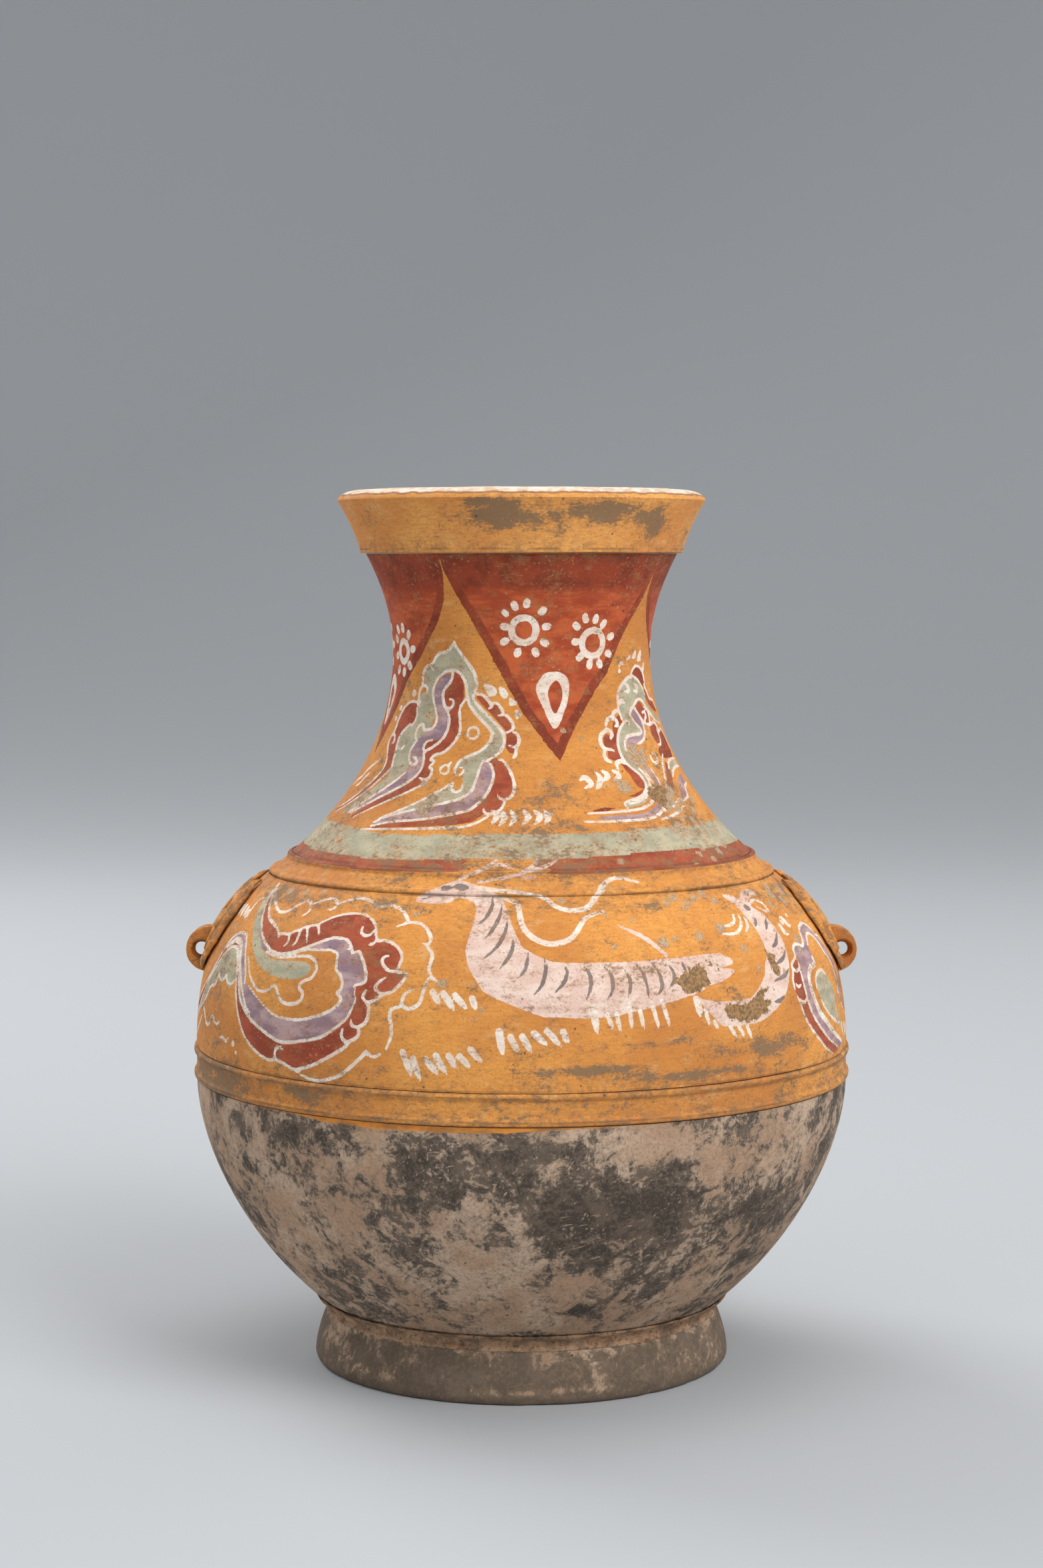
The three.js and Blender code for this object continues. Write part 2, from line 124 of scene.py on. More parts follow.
@dataclass(frozen=True)
class Patch:
    """A filled shape.

    Attributes:
        pigment: The layer that it is painted in.
        path: Angle and height of each point of its outline.
        straight: Whether its sides run straight from point to point.
        cut: Whether it takes paint away instead.
    """

    pigment: Pigment
    path: Flat
    straight: bool = False
    cut: bool = False


@dataclass(frozen=True)
class Spots:
    """Round marks of one kind, each with an angle, a height and a radius in millimetres."""

    pigment: Pigment
    places: Flat


Mark = Stroke | Patch | Spots
LINE = 1.9
FINE_LINE = 1.75


def lines(*paths: Flat, width: float = LINE, pigment: Pigment = Pigment.WHITE) -> tuple[Stroke, ...]:
    """Draws several lines of one width.

    Args:
        paths: The path of each line.
        width: Width in millimetres.
        pigment: The layer that they are painted in.

    Returns:
        One stroke for each path.
    """
    return tuple(Stroke(pigment, width, path) for path in paths)


def ticks(*paths: Flat, width: float = 3.2, pigment: Pigment = Pigment.WHITE) -> tuple[Stroke, ...]:
    """Draws short strokes that start full and end in a point.

    Args:
        paths: The path of each tick.
        width: Width in millimetres where the brush lands.
        pigment: The layer that they are painted in.

    Returns:
        One stroke for each path.
    """
    return tuple(Stroke(pigment, width, path, 1.0, 0.25) for path in paths)


def crescents(*paths: Flat, width: float = 2.3, pigment: Pigment = Pigment.GREY) -> tuple[Stroke, ...]:
    """Draws curved strokes that are thin at both ends.

    Args:
        paths: The path of each crescent.
        width: Width in millimetres at the middle.
        pigment: The layer that they are painted in.

    Returns:
        One stroke for each path.
    """
    return tuple(Stroke(pigment, width, path, 0.2, 0.2) for path in paths)


LEFT_SCROLL_FILLS: tuple[Mark, ...] = (
    Patch(Pigment.RED, (
        -67, 251.4, -60, 240.6, -57.3, 237.3, -52.7, 233.7, -51.6, 231.8, -48.6, 232.3, -46.1, 234.5, -45,
        236.4, -41.6, 238.5, -40, 241, -37.7, 243.1, -34.5, 244.3, -31.8, 243.9, -29.8, 241.8, -28.6, 239.3,
        -27.2, 233.5, -25.5, 233.5, -23.6, 232.2, -22, 229.3, -21.4, 226, -21.8, 220.2, -20, 218.1, -22,
        211.4, -23.6, 209.8, -25, 206.8, -26.4, 205.2, -26.1, 202.7, -26.1, 198.5, -26.6, 195.6, -27.7,
        193.5, -27.5, 191, -28, 188.5, -29.3, 186.4, -29.8, 184.3, -33.2, 178.1, -35.5, 174.8, -39.1, 171,
        -40.9, 170.6, -44.3, 173.5, -46.4, 173.1, -48.2, 173.9, -50.9, 176.8, -53.2, 180.6, -55, 185.2,
        -56.4, 190.2, -58.9, 201.8, -60.5, 211.8, -61.8, 217.7, -63.2, 220.6, -64.5, 222, -66.4, 221.4,
        -68.6, 218.1, -70.2, 214.3, -71.4, 210.2, -77.7, 192.7, -80, 187.7, -86, 178, -92, 170.5, -94, 170,
        -79, 196, -74.5, 206, -71.5, 214.5, -69.1, 220.2, -66.8, 223.5, -65, 224.3, -63.2, 223.1, -61.8,
        220.2, -60, 213.5, -57.3, 201, -55.5, 196, -52.7, 191, -45.5, 183.5, -43.6, 182.7, -41.4, 183.1,
        -35.5, 186.8, -33.2, 190.2, -30, 197.7, -28.9, 206, -29.5, 212.7, -27.7, 214.3, -27.5, 216.8, -28.1,
        221, -29.8, 227.3, -31.6, 227.7, -32.3, 230.2, -33.6, 232.7, -35.5, 233.1, -37.7, 232.3, -44.5,
        225.3, -47.3, 223.5, -50, 223.3, -52.7, 225.2, -57.7, 231.8, -66.4, 248.9)),
    Patch(Pigment.MAUVE, (
        -44.5, 225.3, -37.7, 232.3, -35.5, 233.1, -33.6, 232.7, -32.3, 230.2, -31.6, 226.8, -29.8, 227.3,
        -28.1, 221, -27.5, 216.8, -27.7, 214.3, -29.5, 212.7, -28.9, 206, -30, 197.7, -33.2, 190.2, -35.5,
        186.8, -41.4, 183.1, -43.6, 182.7, -45.5, 183.5, -52.7, 191, -55.5, 196, -57.3, 201, -56.4, 206.8,
        -54.8, 206, -48.6, 197.7, -45.9, 194.8, -42.7, 193.9, -39.5, 194.5, -36.8, 196.4, -34.1, 199.3,
        -32.3, 202.7, -31.7, 206, -32.7, 208.5, -32, 210.2, -32, 213.5, -32.7, 216.8, -33.9, 219.3, -34.5,
        225.6, -35.9, 227.3, -42.3, 226.4)),
    Patch(Pigment.MAUVE, (
        -56.4, 206.8, -57.3, 212.7, -61.8, 226.8, -63.6, 228.5, -65.9, 228.5, -67.7, 226.8, -69.5, 222.7,
        -73.2, 207.7, -77.7, 197.7, -92, 176, -90, 177, -79, 196, -74.5, 206, -69.1, 221, -66.8, 225.2,
        -64.5, 225.8, -62.7, 223.9, -60.9, 218.5, -56.8, 203.5)),
    Patch(Pigment.GREEN, (
        -69.8, 215.2, -67.7, 219.3, -65.5, 220.6, -63.6, 220.2, -62, 216, -60.7, 211, -60.2, 206.8, -61.1,
        205.2, -61.8, 201.8, -63.2, 204.8, -64.3, 206, -65.5, 205.2, -68, 206.8, -69.1, 201.8, -71.6, 200.2,
        -73.6, 194.3, -76.4, 189.3, -80, 185.2, -91, 170, -80, 188.5, -71.6, 209.3)),
    Patch(Pigment.GREEN, (
        -67.5, 251, -66.4, 245.2, -64.5, 239.3, -61.8, 232.7, -57.3, 222.7, -55, 218.5, -52.3, 215.2, -49.1,
        213.1, -45.9, 212.3, -42.7, 212.7, -40.5, 214.3, -39.5, 217.3, -40.2, 220.2, -42.3, 221, -48.2,
        220.2, -50.9, 220.6, -53.2, 222.7, -55.9, 226.8, -66.4, 249.8)),
    *lines(
        (-66.6, 248.5, -61, 235.8, -55.8, 226.9, -53, 224, -50, 222.4, -47.3, 222.6, -44.8, 223.6),
        width=2.2, pigment=Pigment.MAUVE),
)

LEFT_SCROLL_LINES: tuple[Mark, ...] = (
    *lines(
        (-66.8, 252, -60.9, 245.2, -56.4, 241.4, -54.5, 241.2, -52.7, 242.3, -50.2, 247, -48.6, 247.4,
         -47.3, 245.6, -46.7, 243.1, -47.7, 240.8),
        (-46.6, 246.7, -45, 248.5, -43.2, 249.5, -41.4, 249.2, -40.4, 247.3, -40.7, 245.2, -42, 244.7),
        (-40, 247.8, -37.3, 250.2, -35, 250.8, -32.7, 250.2, -30.9, 248.5, -30.4, 247),
        (-30.4, 247.7, -28.6, 248.5, -26.4, 248.5, -24.1, 246.7, -22.6, 243.7, -22.3, 241.7, -24.1, 240),
        (-22.3, 241.7, -20.5, 242, -18.6, 240.6, -17.3, 237.7, -16.7, 234.8, -17, 232.7, -18, 232.8),
        (-17, 231.2, -16.1, 229.3, -15.8, 226.8, -16.1, 223.5, -15.9, 220.6, -14.3, 216.2),
        (-14.8, 217.7, -15.9, 217.5, -16.4, 214.3, -17, 206.8, -18, 204.3, -19.1, 203.7, -20, 205.2, -20.1,
         208.5, -19.5, 211, -18.5, 212.2),
        (-20, 204.8, -21.8, 203.1, -22.1, 200.2, -21.6, 191.8, -22.4, 184.3),
        (-23.4, 182, -24.3, 180.6, -25.2, 181, -26.1, 182.7, -26.4, 181, -29.1, 173.9, -30.9, 170.2, -33.2,
         167.7, -35.5, 166.4, -37.7, 167.3, -40.9, 170.6)),
    *lines(
        (-67, 251.4, -60, 240.6, -57.3, 237.3, -52.7, 233.7, -50.9, 229.8),
        (-51.6, 231.8, -48.6, 232.3, -48, 231, -47.7, 228.5, -48.3, 226.8),
        (-48.6, 232.3, -46.1, 234.5, -45.5, 229.8, -46, 227.8),
        (-46.1, 234.5, -45, 236.4, -44.1, 235.2, -42.6, 229.5),
        (-45, 236.4, -42.3, 237.8, -41.4, 236.4, -40.5, 233.5),
        (-42.3, 237.8, -40, 241, -37.7, 243.1, -34.5, 244.3, -31.8, 243.9, -29.8, 241.8, -28.6, 239.3,
         -27.2, 233.5, -25.5, 233.5, -23.6, 232.2, -22, 229.3, -21.4, 226, -21.8, 220.2, -20.7, 219.9, -20,
         218.1, -22, 211.4, -23.6, 209.8, -25, 206.8, -26.4, 205.2, -26.1, 202.7, -26.1, 198.5, -26.6,
         195.6, -27.7, 193.5, -27.5, 191, -28, 188.5, -29.3, 186.4, -29.8, 184.3, -31.8, 180.6, -35.5,
         174.8, -39.1, 171, -40.9, 170.6, -44.3, 173.5, -46.4, 173.1, -48.2, 173.9, -50.9, 176.8, -53.2,
         180.6, -55, 185.2, -57.7, 196, -60.5, 211.8, -61.8, 217.7, -63.2, 220.6, -64.5, 222, -66.4, 221.4,
         -68.6, 218.1, -70.2, 214.3, -71.4, 210.2, -77.7, 192.7, -80, 187.7, -86, 178, -92, 170.5),
        (-31.4, 238.7, -31.1, 236.4, -30.2, 235.2, -29.1, 235.6, -28.6, 237.3),
        (-27.2, 233.5, -28, 231.4, -28.6, 231.7),
        (-21.8, 220.6, -23.2, 220.2, -24.5, 222.3, -25.1, 224.8, -24.8, 226.4, -24, 227),
        (-23.6, 209.8, -24.8, 210.6, -25.4, 212.7, -24.8, 215.2, -23.7, 217.3),
        (-26.4, 205.2, -27, 206, -27.5, 208.1, -27, 211),
        (-27.7, 193.5, -28.9, 194.3, -29.2, 196.8),
        (-29.3, 186.4, -30.2, 186.8, -30.8, 189.3, -30.6, 192.7),
        (-44.8, 173.9, -45.1, 176.8, -44.8, 179.3, -44.1, 179.8, -43.1, 179.2),
        (-69.1, 220.2, -66.8, 223.5, -65, 224.3, -63.2, 223.1, -61.8, 220.2, -60, 213.5, -57.3, 201, -55.5,
         196, -52.7, 191, -50.5, 188.5, -45.5, 183.5, -43.6, 182.7, -41.4, 183.1, -35.5, 186.8, -33.2,
         190.2, -31.4, 193.9, -30, 197.7, -29.3, 201.8, -28.9, 206, -29.5, 212.7),
        (-29.5, 212.7, -27.7, 214.3, -27.5, 216.8, -28.1, 221, -29.8, 227.3, -30.7, 227.8, -31.6, 226.8),
        (-66.4, 248.9, -57.7, 231.8, -52.7, 225.2, -50, 223.3, -47.3, 223.5, -44.5, 225.3, -37.7, 232.3,
         -35.5, 233.1, -33.6, 232.7, -32.3, 230.2, -31.6, 227.7, -32.7, 228.9),
        (-45, 223.9, -42.3, 226.4, -37.7, 227.3, -35.9, 227.3, -34.5, 225.6, -33.9, 219.3, -32.7, 216.8,
         -32, 213.5, -32, 210.2, -32.7, 208.5, -31.7, 206, -32.3, 202.7, -34.1, 199.3, -36.8, 196.4, -39.5,
         194.5, -42.7, 193.9, -45.9, 194.8, -48.6, 197.7, -54.8, 206),
        (-69.1, 221, -66.8, 225.2, -64.5, 225.8, -62.7, 223.9, -60.9, 218.5, -55.2, 198.5, -52.7, 193.5),
        (-69.8, 216, -68.2, 219.3, -65.9, 221.7, -64.1, 221.4, -62.5, 218.5, -60.9, 213.5, -59.3, 204.3),
        (-60.5, 206.8, -61.1, 205, -62.7, 205, -63.9, 206.8, -64.3, 209.3, -64.8, 206.8, -65.5, 205.3,
         -67.3, 205.6, -68.1, 207.3, -69.1, 201.8, -71.6, 200.2, -73.6, 194.3, -76.4, 189.3, -79.1, 186,
         -89, 171.5),
        (-75.5, 184.3, -77.3, 180.2, -79.1, 176.8, -82, 171.5),
        (-56.4, 206.8, -57.3, 212.7, -61.8, 226.8, -63.6, 228.5, -65.9, 228.5, -67.7, 226.8, -69.5, 222.7,
         -73.2, 207.7, -77.7, 197.7, -86, 185, -93, 175.5),
        width=FINE_LINE),
    *lines(
        (-52.7, 223.1, -50, 221.8, -47.3, 221.8, -41.8, 223.7, -40, 223.1, -38.6, 221, -38.2, 217.7, -38.9,
         213.9, -40.2, 212.7, -41.1, 210.6, -40.9, 208.5, -40, 206.8, -40.2, 203.5, -41.6, 201.4, -43.6,
         201, -45.2, 202.7, -46.8, 207.7, -48, 207.7, -48.6, 206, -50.5, 204.8, -52.3, 205.6, -55.5, 211.4,
         -56.8, 216, -58.2, 219.3),
        (-67.8, 235.6, -68.6, 241.4, -68.4, 244.3, -66.8, 245),
        (-74.8, 186.8, -74.1, 188.1, -72, 182.7, -70.7, 181.4, -69.3, 182.3, -68.6, 185.2, -67.3, 186.8,
         -66.4, 184.3, -65, 183.5, -64, 185.2),
        (-63.4, 177.7, -61.8, 178.1, -60.5, 176.8, -59.5, 178.9)),
    *ticks((-75, 239, -74, 235), (-73, 239.5, -72, 235), (-71, 239, -70, 235.5), (-69.2, 238, -68.5, 235)),
    Spots(Pigment.WHITE, (-57.7, 176.8, 1.6, -56.6, 172.7, 1.1)),
)

COMB_TICKS: tuple[Mark, ...] = (
    *ticks(
        (-15, 211.8, -13.6, 206.2), (-13.1, 211.4, -11, 203.5), (-11.1, 210.6, -8.9, 204.3),
        (-8.2, 209.3, -7.5, 204.3), (-19.5, 183.5, -17.8, 172), (-17.7, 180.6, -16.3, 170.3),
        (-15.5, 180.6, -13.4, 173.5), (-13.9, 182.7, -12, 173.9), (-11.7, 182.7, -10.5, 176.8),
        (-10, 182.7, -8.1, 177.3), (-8.2, 186, -6.4, 180.2), (-1.8, 192, -0.5, 184.8),
        (0.1, 192.3, 1.6, 184.8), (2, 193.7, 4.1, 188.1), (4.1, 194.8, 6.4, 187.5),
        (6.7, 194.3, 7.5, 188.7)),
    *ticks((-3.6, 194.3, -3, 183.3), (11.8, 204.8, 12.3, 193.1), (30.5, 206, 31, 197.7), width=3.8),
    *ticks(
        (14.1, 201.8, 15.1, 193.5), (15.7, 201.8, 16.3, 192.7), (18, 206, 18.2, 193.5),
        (19.8, 202.7, 20.3, 193.9), (22, 206, 23, 193.5), (23.9, 206.8, 25, 193.9), (32, 201, 32.6, 193.1),
        (33.6, 194.8, 34.3, 191.4), (36.8, 191.8, 38.1, 186.4), (38.6, 191.8, 39.8, 186),
        (40.5, 191.4, 41.5, 184.3), width=2.2),
    *ticks((58.2, 233.9, 58.4, 231, 59.8, 229.5), (59.8, 235.2, 60.7, 236.7, 61.4, 233.5, 62.5, 233.1)),
    Spots(Pigment.WHITE, (63.6, 237.7, 1.2)),
)

LONG_DRAGON: tuple[Mark, ...] = (
    Patch(Pigment.BONE, (
        -4.3, 253.1, -3.2, 249.8, -0.5, 235.2, 0.9, 231, 4.8, 226.4, 7.7, 225.3, 20, 224.8, 35.9, 226, 38.6,
        224.3, 40, 222.7, 39.8, 220.2, 36.8, 219.3, 40, 217.7, 38.6, 215.2, 36.4, 213.1, 33.2, 211.4, 30,
        208.3, 15, 200.6, 5, 201, 2.3, 202.3, -5.5, 211, -7.3, 216, -8.6, 221, -9.6, 226.8, -9.9, 232.7,
        -9.1, 244.3, -9.1, 248.5, -10, 251.4, -13.2, 253.1, -15, 251, -18.2, 250.3, -21.4, 250.6, -22.3,
        251.8, -21.6, 254, -15.6, 260, -12.6, 260, -6, 256)),
    Stroke(Pigment.GREY, 0.9, (-21.9, 251.9, -20.3, 252.4, -19.2, 253.4), 0.6, 0.3),
    Stroke(Pigment.GREY, 3.4, (-17.3, 257.2, -15.7, 257.1), 0.6, 0.5),
    Stroke(Pigment.GREY, 4.2, (-14.2, 258, -11.8, 257.2), 0.8, 0.4),
    *lines(
        (-14.1, 261.1, -9.1, 265.6, -6.2, 269.4), (-7.4, 267.2, -4.5, 267.6, -2.1, 266.1),
        (-9.7, 260, -2.1, 262.8, 2.1, 266.1, 4.1, 269.8), (0.3, 262.2, 3.2, 262.4),
        width=2.6, pigment=Pigment.BONE),
    *lines(
        (-4.1, 253.5, -1.8, 251.8, -0.7, 250.2, 0, 242.7, 1.1, 238.5, 2.7, 235.6, 4.8, 233.7, 7.3, 234.3,
         9.3, 236.4, 11.8, 243.1, 13.6, 245.6, 16.4, 247),
        (-9, 257.6, 3.4, 254.3, 6.8, 249.8, 9.1, 248.1, 11.4, 248.1, 13.6, 249.3, 17.4, 256.7, 19.7, 260,
         22.6, 261.1, 26.8, 258.9),
        width=3.0),
    Stroke(Pigment.BONE, 2.5, (18.2, 241, 20.5, 238.5, 22.7, 235.6, 24.5, 231.8, 26.4, 226.8), 0.3, 0.8),
    *crescents(
        (-6.1, 254.3, -5.9, 250.2, -6.8, 245.2, -8.3, 241.8),
        (-3.9, 251, -4.3, 245.2, -5.5, 239.3, -6.9, 235.6),
        (-2.6, 245.2, -3, 239.3, -4.3, 232.7, -6.9, 226.4),
        (-1.5, 236.7, -1.6, 231.8, -2.5, 226.8, -3.7, 222.7), (1.1, 230.2, 1, 226, 0.5, 221.8, -0.7, 218.5),
        (4, 227.7, 4.2, 222.7, 3.5, 216, 2, 210.8), (7.2, 225.2, 7.8, 221, 7, 216, 5.5, 211.7),
        (10.5, 224.5, 11.6, 220.2, 11.7, 214.3, 10.7, 208.3),
        (13.9, 224.5, 15.4, 219.3, 15.4, 212.7, 14.2, 207.8),
        (17.6, 222.7, 18.6, 217.7, 18.5, 212.7, 17.9, 208.9), (20.1, 224.5, 21.3, 218.5, 21.7, 207.8),
        (23.1, 224.3, 24.3, 218.5, 24.3, 212.7, 23.4, 209.3),
        (26, 223.9, 27, 219.3, 26.8, 215.2, 25.2, 211), (29.1, 223.5, 29.5, 218.9), width=2.0),
    Patch(Pigment.WORN, (
        27, 214, 28.5, 210, 31, 209.3, 33.5, 212, 34, 216, 33, 219.5, 35.5, 221, 33.5, 222, 31, 221.5, 29.6,
        218.5, 27.5, 217.5)),
)

CURLED_DRAGON: tuple[Mark, ...] = (
    Patch(Pigment.BONE, (
        30, 208.3, 32.3, 205.6, 35.9, 203.9, 41.4, 203.9, 43.6, 206, 46.8, 212.7, 48, 218.5, 49.3, 221.8,
        49.8, 227.7, 49.6, 234.3, 48.6, 244.3, 47, 250.3, 49.5, 250, 51.4, 248.1, 53.2, 250.2, 55.5, 251.4,
        58.2, 250.8, 58.6, 248.5, 56, 248.2, 53.5, 246.5, 53.2, 243.9, 55, 240.2, 56, 234.3, 56.3, 228.5,
        55.9, 222.7, 55, 216, 53.6, 209.3, 51.8, 203.5, 49.5, 198.9, 46.8, 195.2, 43.6, 192.3, 36.8, 191.8,
        34.5, 194.3, 31.8, 202.7)),
    Spots(Pigment.GREY, (51.4, 243.9, 2.2)),
    *crescents(
        (55, 238.5, 52.7, 233.1), (55.7, 231.8, 53.6, 226.8, 51.4, 225.2),
        (55.7, 223.1, 53.6, 219.3, 50.7, 217.5), (54.6, 214.5, 52.7, 211.8, 49.1, 209.8),
        (51.4, 202.7, 49.8, 200.6, 47.7, 200.3), (51.7, 239.3, 50, 235.2)),
    *lines(
        (53.2, 245.2, 55.5, 246.7, 57.3, 245.6, 58, 243.1, 57.2, 240.8, 54.5, 243.9),
        (45.9, 241.8, 45, 238.9, 43.2, 237.5, 41.8, 237.5),
        (47.3, 241, 46.4, 237.3, 44.5, 234.3, 42.3, 233.7, 40, 234.3),
        (48.5, 239.8, 48, 236.4, 46.6, 233.9),
        width=1.8),
    Patch(Pigment.WORN, (
        36, 200, 37, 195, 40, 193.5, 44, 194.5, 47, 199, 46, 204, 47.5, 208, 44.5, 206, 41, 201.5, 38,
        202.5)),
    Patch(Pigment.WORN, (49.5, 223.5, 49.8, 216, 51, 211.5, 52, 214, 51.2, 219, 51.8, 222)),
)

RIGHT_SCROLL: tuple[Mark, ...] = (
    Patch(Pigment.RED, (
        54.8, 204.3, 54.9, 209.3, 55.7, 212.7, 56, 216, 57, 217.7, 58.6, 216.8, 58.2, 211, 58.2, 204.3,
        58.5, 197.7, 59.5, 191, 61.4, 185.2, 63.6, 180.2, 66.4, 175.2, 71.8, 169.3, 68.4, 167.5, 64.5,
        171.8, 62.3, 175.6, 58.2, 185.2, 56.8, 190.2, 55.2, 201)),
    Patch(Pigment.MAUVE, (
        58.6, 216.8, 58.4, 222.3, 59.5, 224.3, 60.9, 224.5, 62.7, 223.1, 63.9, 225.2, 65, 230.2, 66.8, 232,
        68.6, 232.5, 70, 231.4, 71.6, 228.5, 77.4, 211, 78.6, 203, 77.5, 195, 80, 186, 77, 190, 75.5, 196,
        76.4, 201.8, 75.5, 211, 73.2, 216, 71.4, 222.7, 69.5, 226.8, 67.3, 227.3, 65.2, 222.7, 64.8, 213.5,
        62.3, 212.3, 60.7, 207.7, 60.7, 201.8, 61.4, 196, 62.7, 190.2, 68.2, 179.3, 75, 170.5, 71.8, 169.3,
        66.4, 175.2, 63.6, 180.2, 61.4, 185.2, 59.5, 191, 58.5, 197.7, 58.2, 211)),
    Patch(Pigment.GREEN, (
        63, 201.8, 63.2, 206, 65, 209.3, 67.3, 209.8, 69.1, 206.8, 71.2, 201, 72, 195, 72, 188.5, 74.5, 181,
        73.6, 179, 68.2, 186, 65.5, 191, 63.9, 196)),
    Patch(Pigment.BRICK, (
        65.5, 201.8, 66.8, 204.3, 69.1, 201.8, 70.5, 197.7, 70.9, 192.7, 70.9, 186.8, 69.1, 189.3, 65.9,
        197.7)),
    *lines(
        (54.8, 204.3, 54.9, 209.3, 55.7, 212.7, 56, 216, 58.2, 219.3, 58.4, 222.3, 59.5, 224.3, 60.9,
         224.5, 62.7, 223.1, 63.9, 225.2, 65, 230.2, 66.8, 232, 68.6, 232.5, 70, 231.4, 71.6, 228.5, 72.3,
         225.2, 73.9, 224.3, 78, 212, 79.4, 203),
        (55.2, 201, 56.8, 190.2, 58.2, 185.2, 60, 180.6, 64.5, 171.8, 68.4, 167.5),
        (58.6, 216.8, 58.2, 211, 58.2, 204.3, 58.5, 197.7, 59.5, 191, 61.4, 185.2, 63.6, 180.2, 66.4,
         175.2, 71.8, 169.3),
        (55.9, 214.8, 56.8, 212.5, 58.1, 213.7), (55.5, 206.8, 56.1, 205.3, 57.2, 205.8),
        (55.9, 198.9, 57, 197.3, 58.1, 198.5),
        (65.2, 222.7, 67.3, 227.3, 69.5, 226.8, 71.4, 222.7, 73.2, 216, 75.5, 211, 76.4, 201.8, 75.5, 196,
         77.5, 189, 84, 178),
        (63, 201.8, 63.2, 206, 65, 209.3, 67.3, 209.8, 69.1, 206.8),
        (63.9, 196, 65.5, 191, 68.2, 186, 71.4, 182.3, 73.6, 181), width=1.8),
    Stroke(Pigment.WHITE, 3.6, (
        65, 216.8, 64.8, 213.5, 62.3, 212.3, 60.7, 207.7, 60.7, 201.8, 61.4, 196, 62.7, 190.2, 65.5, 184.3,
        68.2, 179.3, 71.4, 174.8, 75, 170.5), 0.6, 0.4),
    *ticks((78, 178.5, 80, 171.5), (80.5, 177.5, 82.3, 171), (75.4, 179.5, 77.2, 173)),
)

BELLY_WEAR: tuple[Mark, ...] = (
    Spots(Pigment.CRUST, (
        16.7, 245.5, 1.5, 26.5, 232.5, 3, 34.8, 234.2, 2.5, 40.5, 237, 3, 44, 227, 2, 36.8, 243, 1, 29, 234,
        1.2, 16.7, 231.8, 1.5, 46, 217.5, 1.5, -13.5, 215.5, 2.4, -6.5, 204.3, 1.5, 62, 226.5, 3, 61, 221.5,
        2.5, 31, 249.5, 2.2, 33.4, 251.3, 2.6, 36, 248.5, 2, 38.5, 250.5, 2.6, 34.3, 247, 1.6, 43.4, 248.6,
        2.2, 41.5, 252, 2, -21, 245.5, 1.4, -63, 246, 1.8, -58.5, 250, 2.4, -52.5, 251, 2, -47, 252, 1.8,
        8.2, 252.4, 1.6, 60.5, 243, 2.4, 64.5, 247.5, 3.2, 68, 243.8, 3, 71.5, 248, 3.4, 74, 242, 2.6, 66.5,
        251, 2.6, 53, 214, 1.4, -71, 230, 2, -76, 222, 2.2, 49, 228, 1.2, 21.5, 243, 1)),
)

BELLY_PAINTING: tuple[Mark, ...] = (
    *LEFT_SCROLL_FILLS, *LEFT_SCROLL_LINES, *LONG_DRAGON, *CURLED_DRAGON, *COMB_TICKS, *RIGHT_SCROLL,
    *BELLY_WEAR)

TRIANGLES: tuple[Mark, ...] = (
    Patch(Pigment.BRICK, (
        -31, 418.5, -30.6, 408.9, -27.4, 397.8, -17.4, 375.6, 0.3, 338.9, 14.1, 315, 20.9, 330, 32.6, 348.9,
        40, 358, 50.6, 378.9, 60, 394.4, 62.1, 403.3, 62.3, 418.5), straight=True),
    Patch(Pigment.BRICK, (
        -31.4, 418.5, -31.2, 407.8, -33.2, 394.4, -37.9, 383.3, -49.7, 365.6, -59.1, 353.3, -70.3, 327.8,
        -74.5, 316, -78.7, 327.8, -89.9, 353.3, -99.3, 365.6, -111.1, 383.3, -115.8, 394.4, -117.6, 407.8,
        -117.6, 418.5), straight=True),
)

SUN_WIDTH = 3.4


def ring(angle: float, height: float, radius: float, width: float, turns: float = 1.0) -> Stroke:
    """Draws a round ring on the neck.

    Args:
        angle: Angle of its middle.
        height: Height of its middle.
        radius: Radius to the middle of its line, in millimetres.
        width: Width of its line.
        turns: Share of a whole turn that the brush goes.

    Returns:
        One closed or nearly closed stroke.
    """
    steps = 14
    millimetres_per_degree = 1.2
    path: list[float] = []
    for step in range(steps + 1):
        turn = 2 * math.pi * turns * step / steps
        path.append(angle + radius * math.sin(turn) / millimetres_per_degree)
        path.append(height + radius * math.cos(turn))
    return Stroke(Pigment.WHITE, width, tuple(path), 1.0, 1.0)


def drops(angle: float, height: float, places: Flat, size: float = 1.85) -> tuple[Stroke, ...]:
    """Draws the drops round a sun, each with its point outwards.

    Args:
        angle: Angle of the sun's middle.
        height: Height of the sun's middle.
        places: Angle and height of each drop.
        size: Half the width of a drop, in millimetres.

    Returns:
        One short tapering stroke for each drop.
    """
    reach = 0.1
    found: list[Stroke] = []
    for across, up in zip(places[::2], places[1::2]):
        side, rise = (angle - across) * reach, (height - up) * reach
        path = (across + side, up + rise, across - side, up - rise)
        found.append(Stroke(Pigment.WHITE, 2 * size, path, 1.0, 0.1))
    return tuple(found)


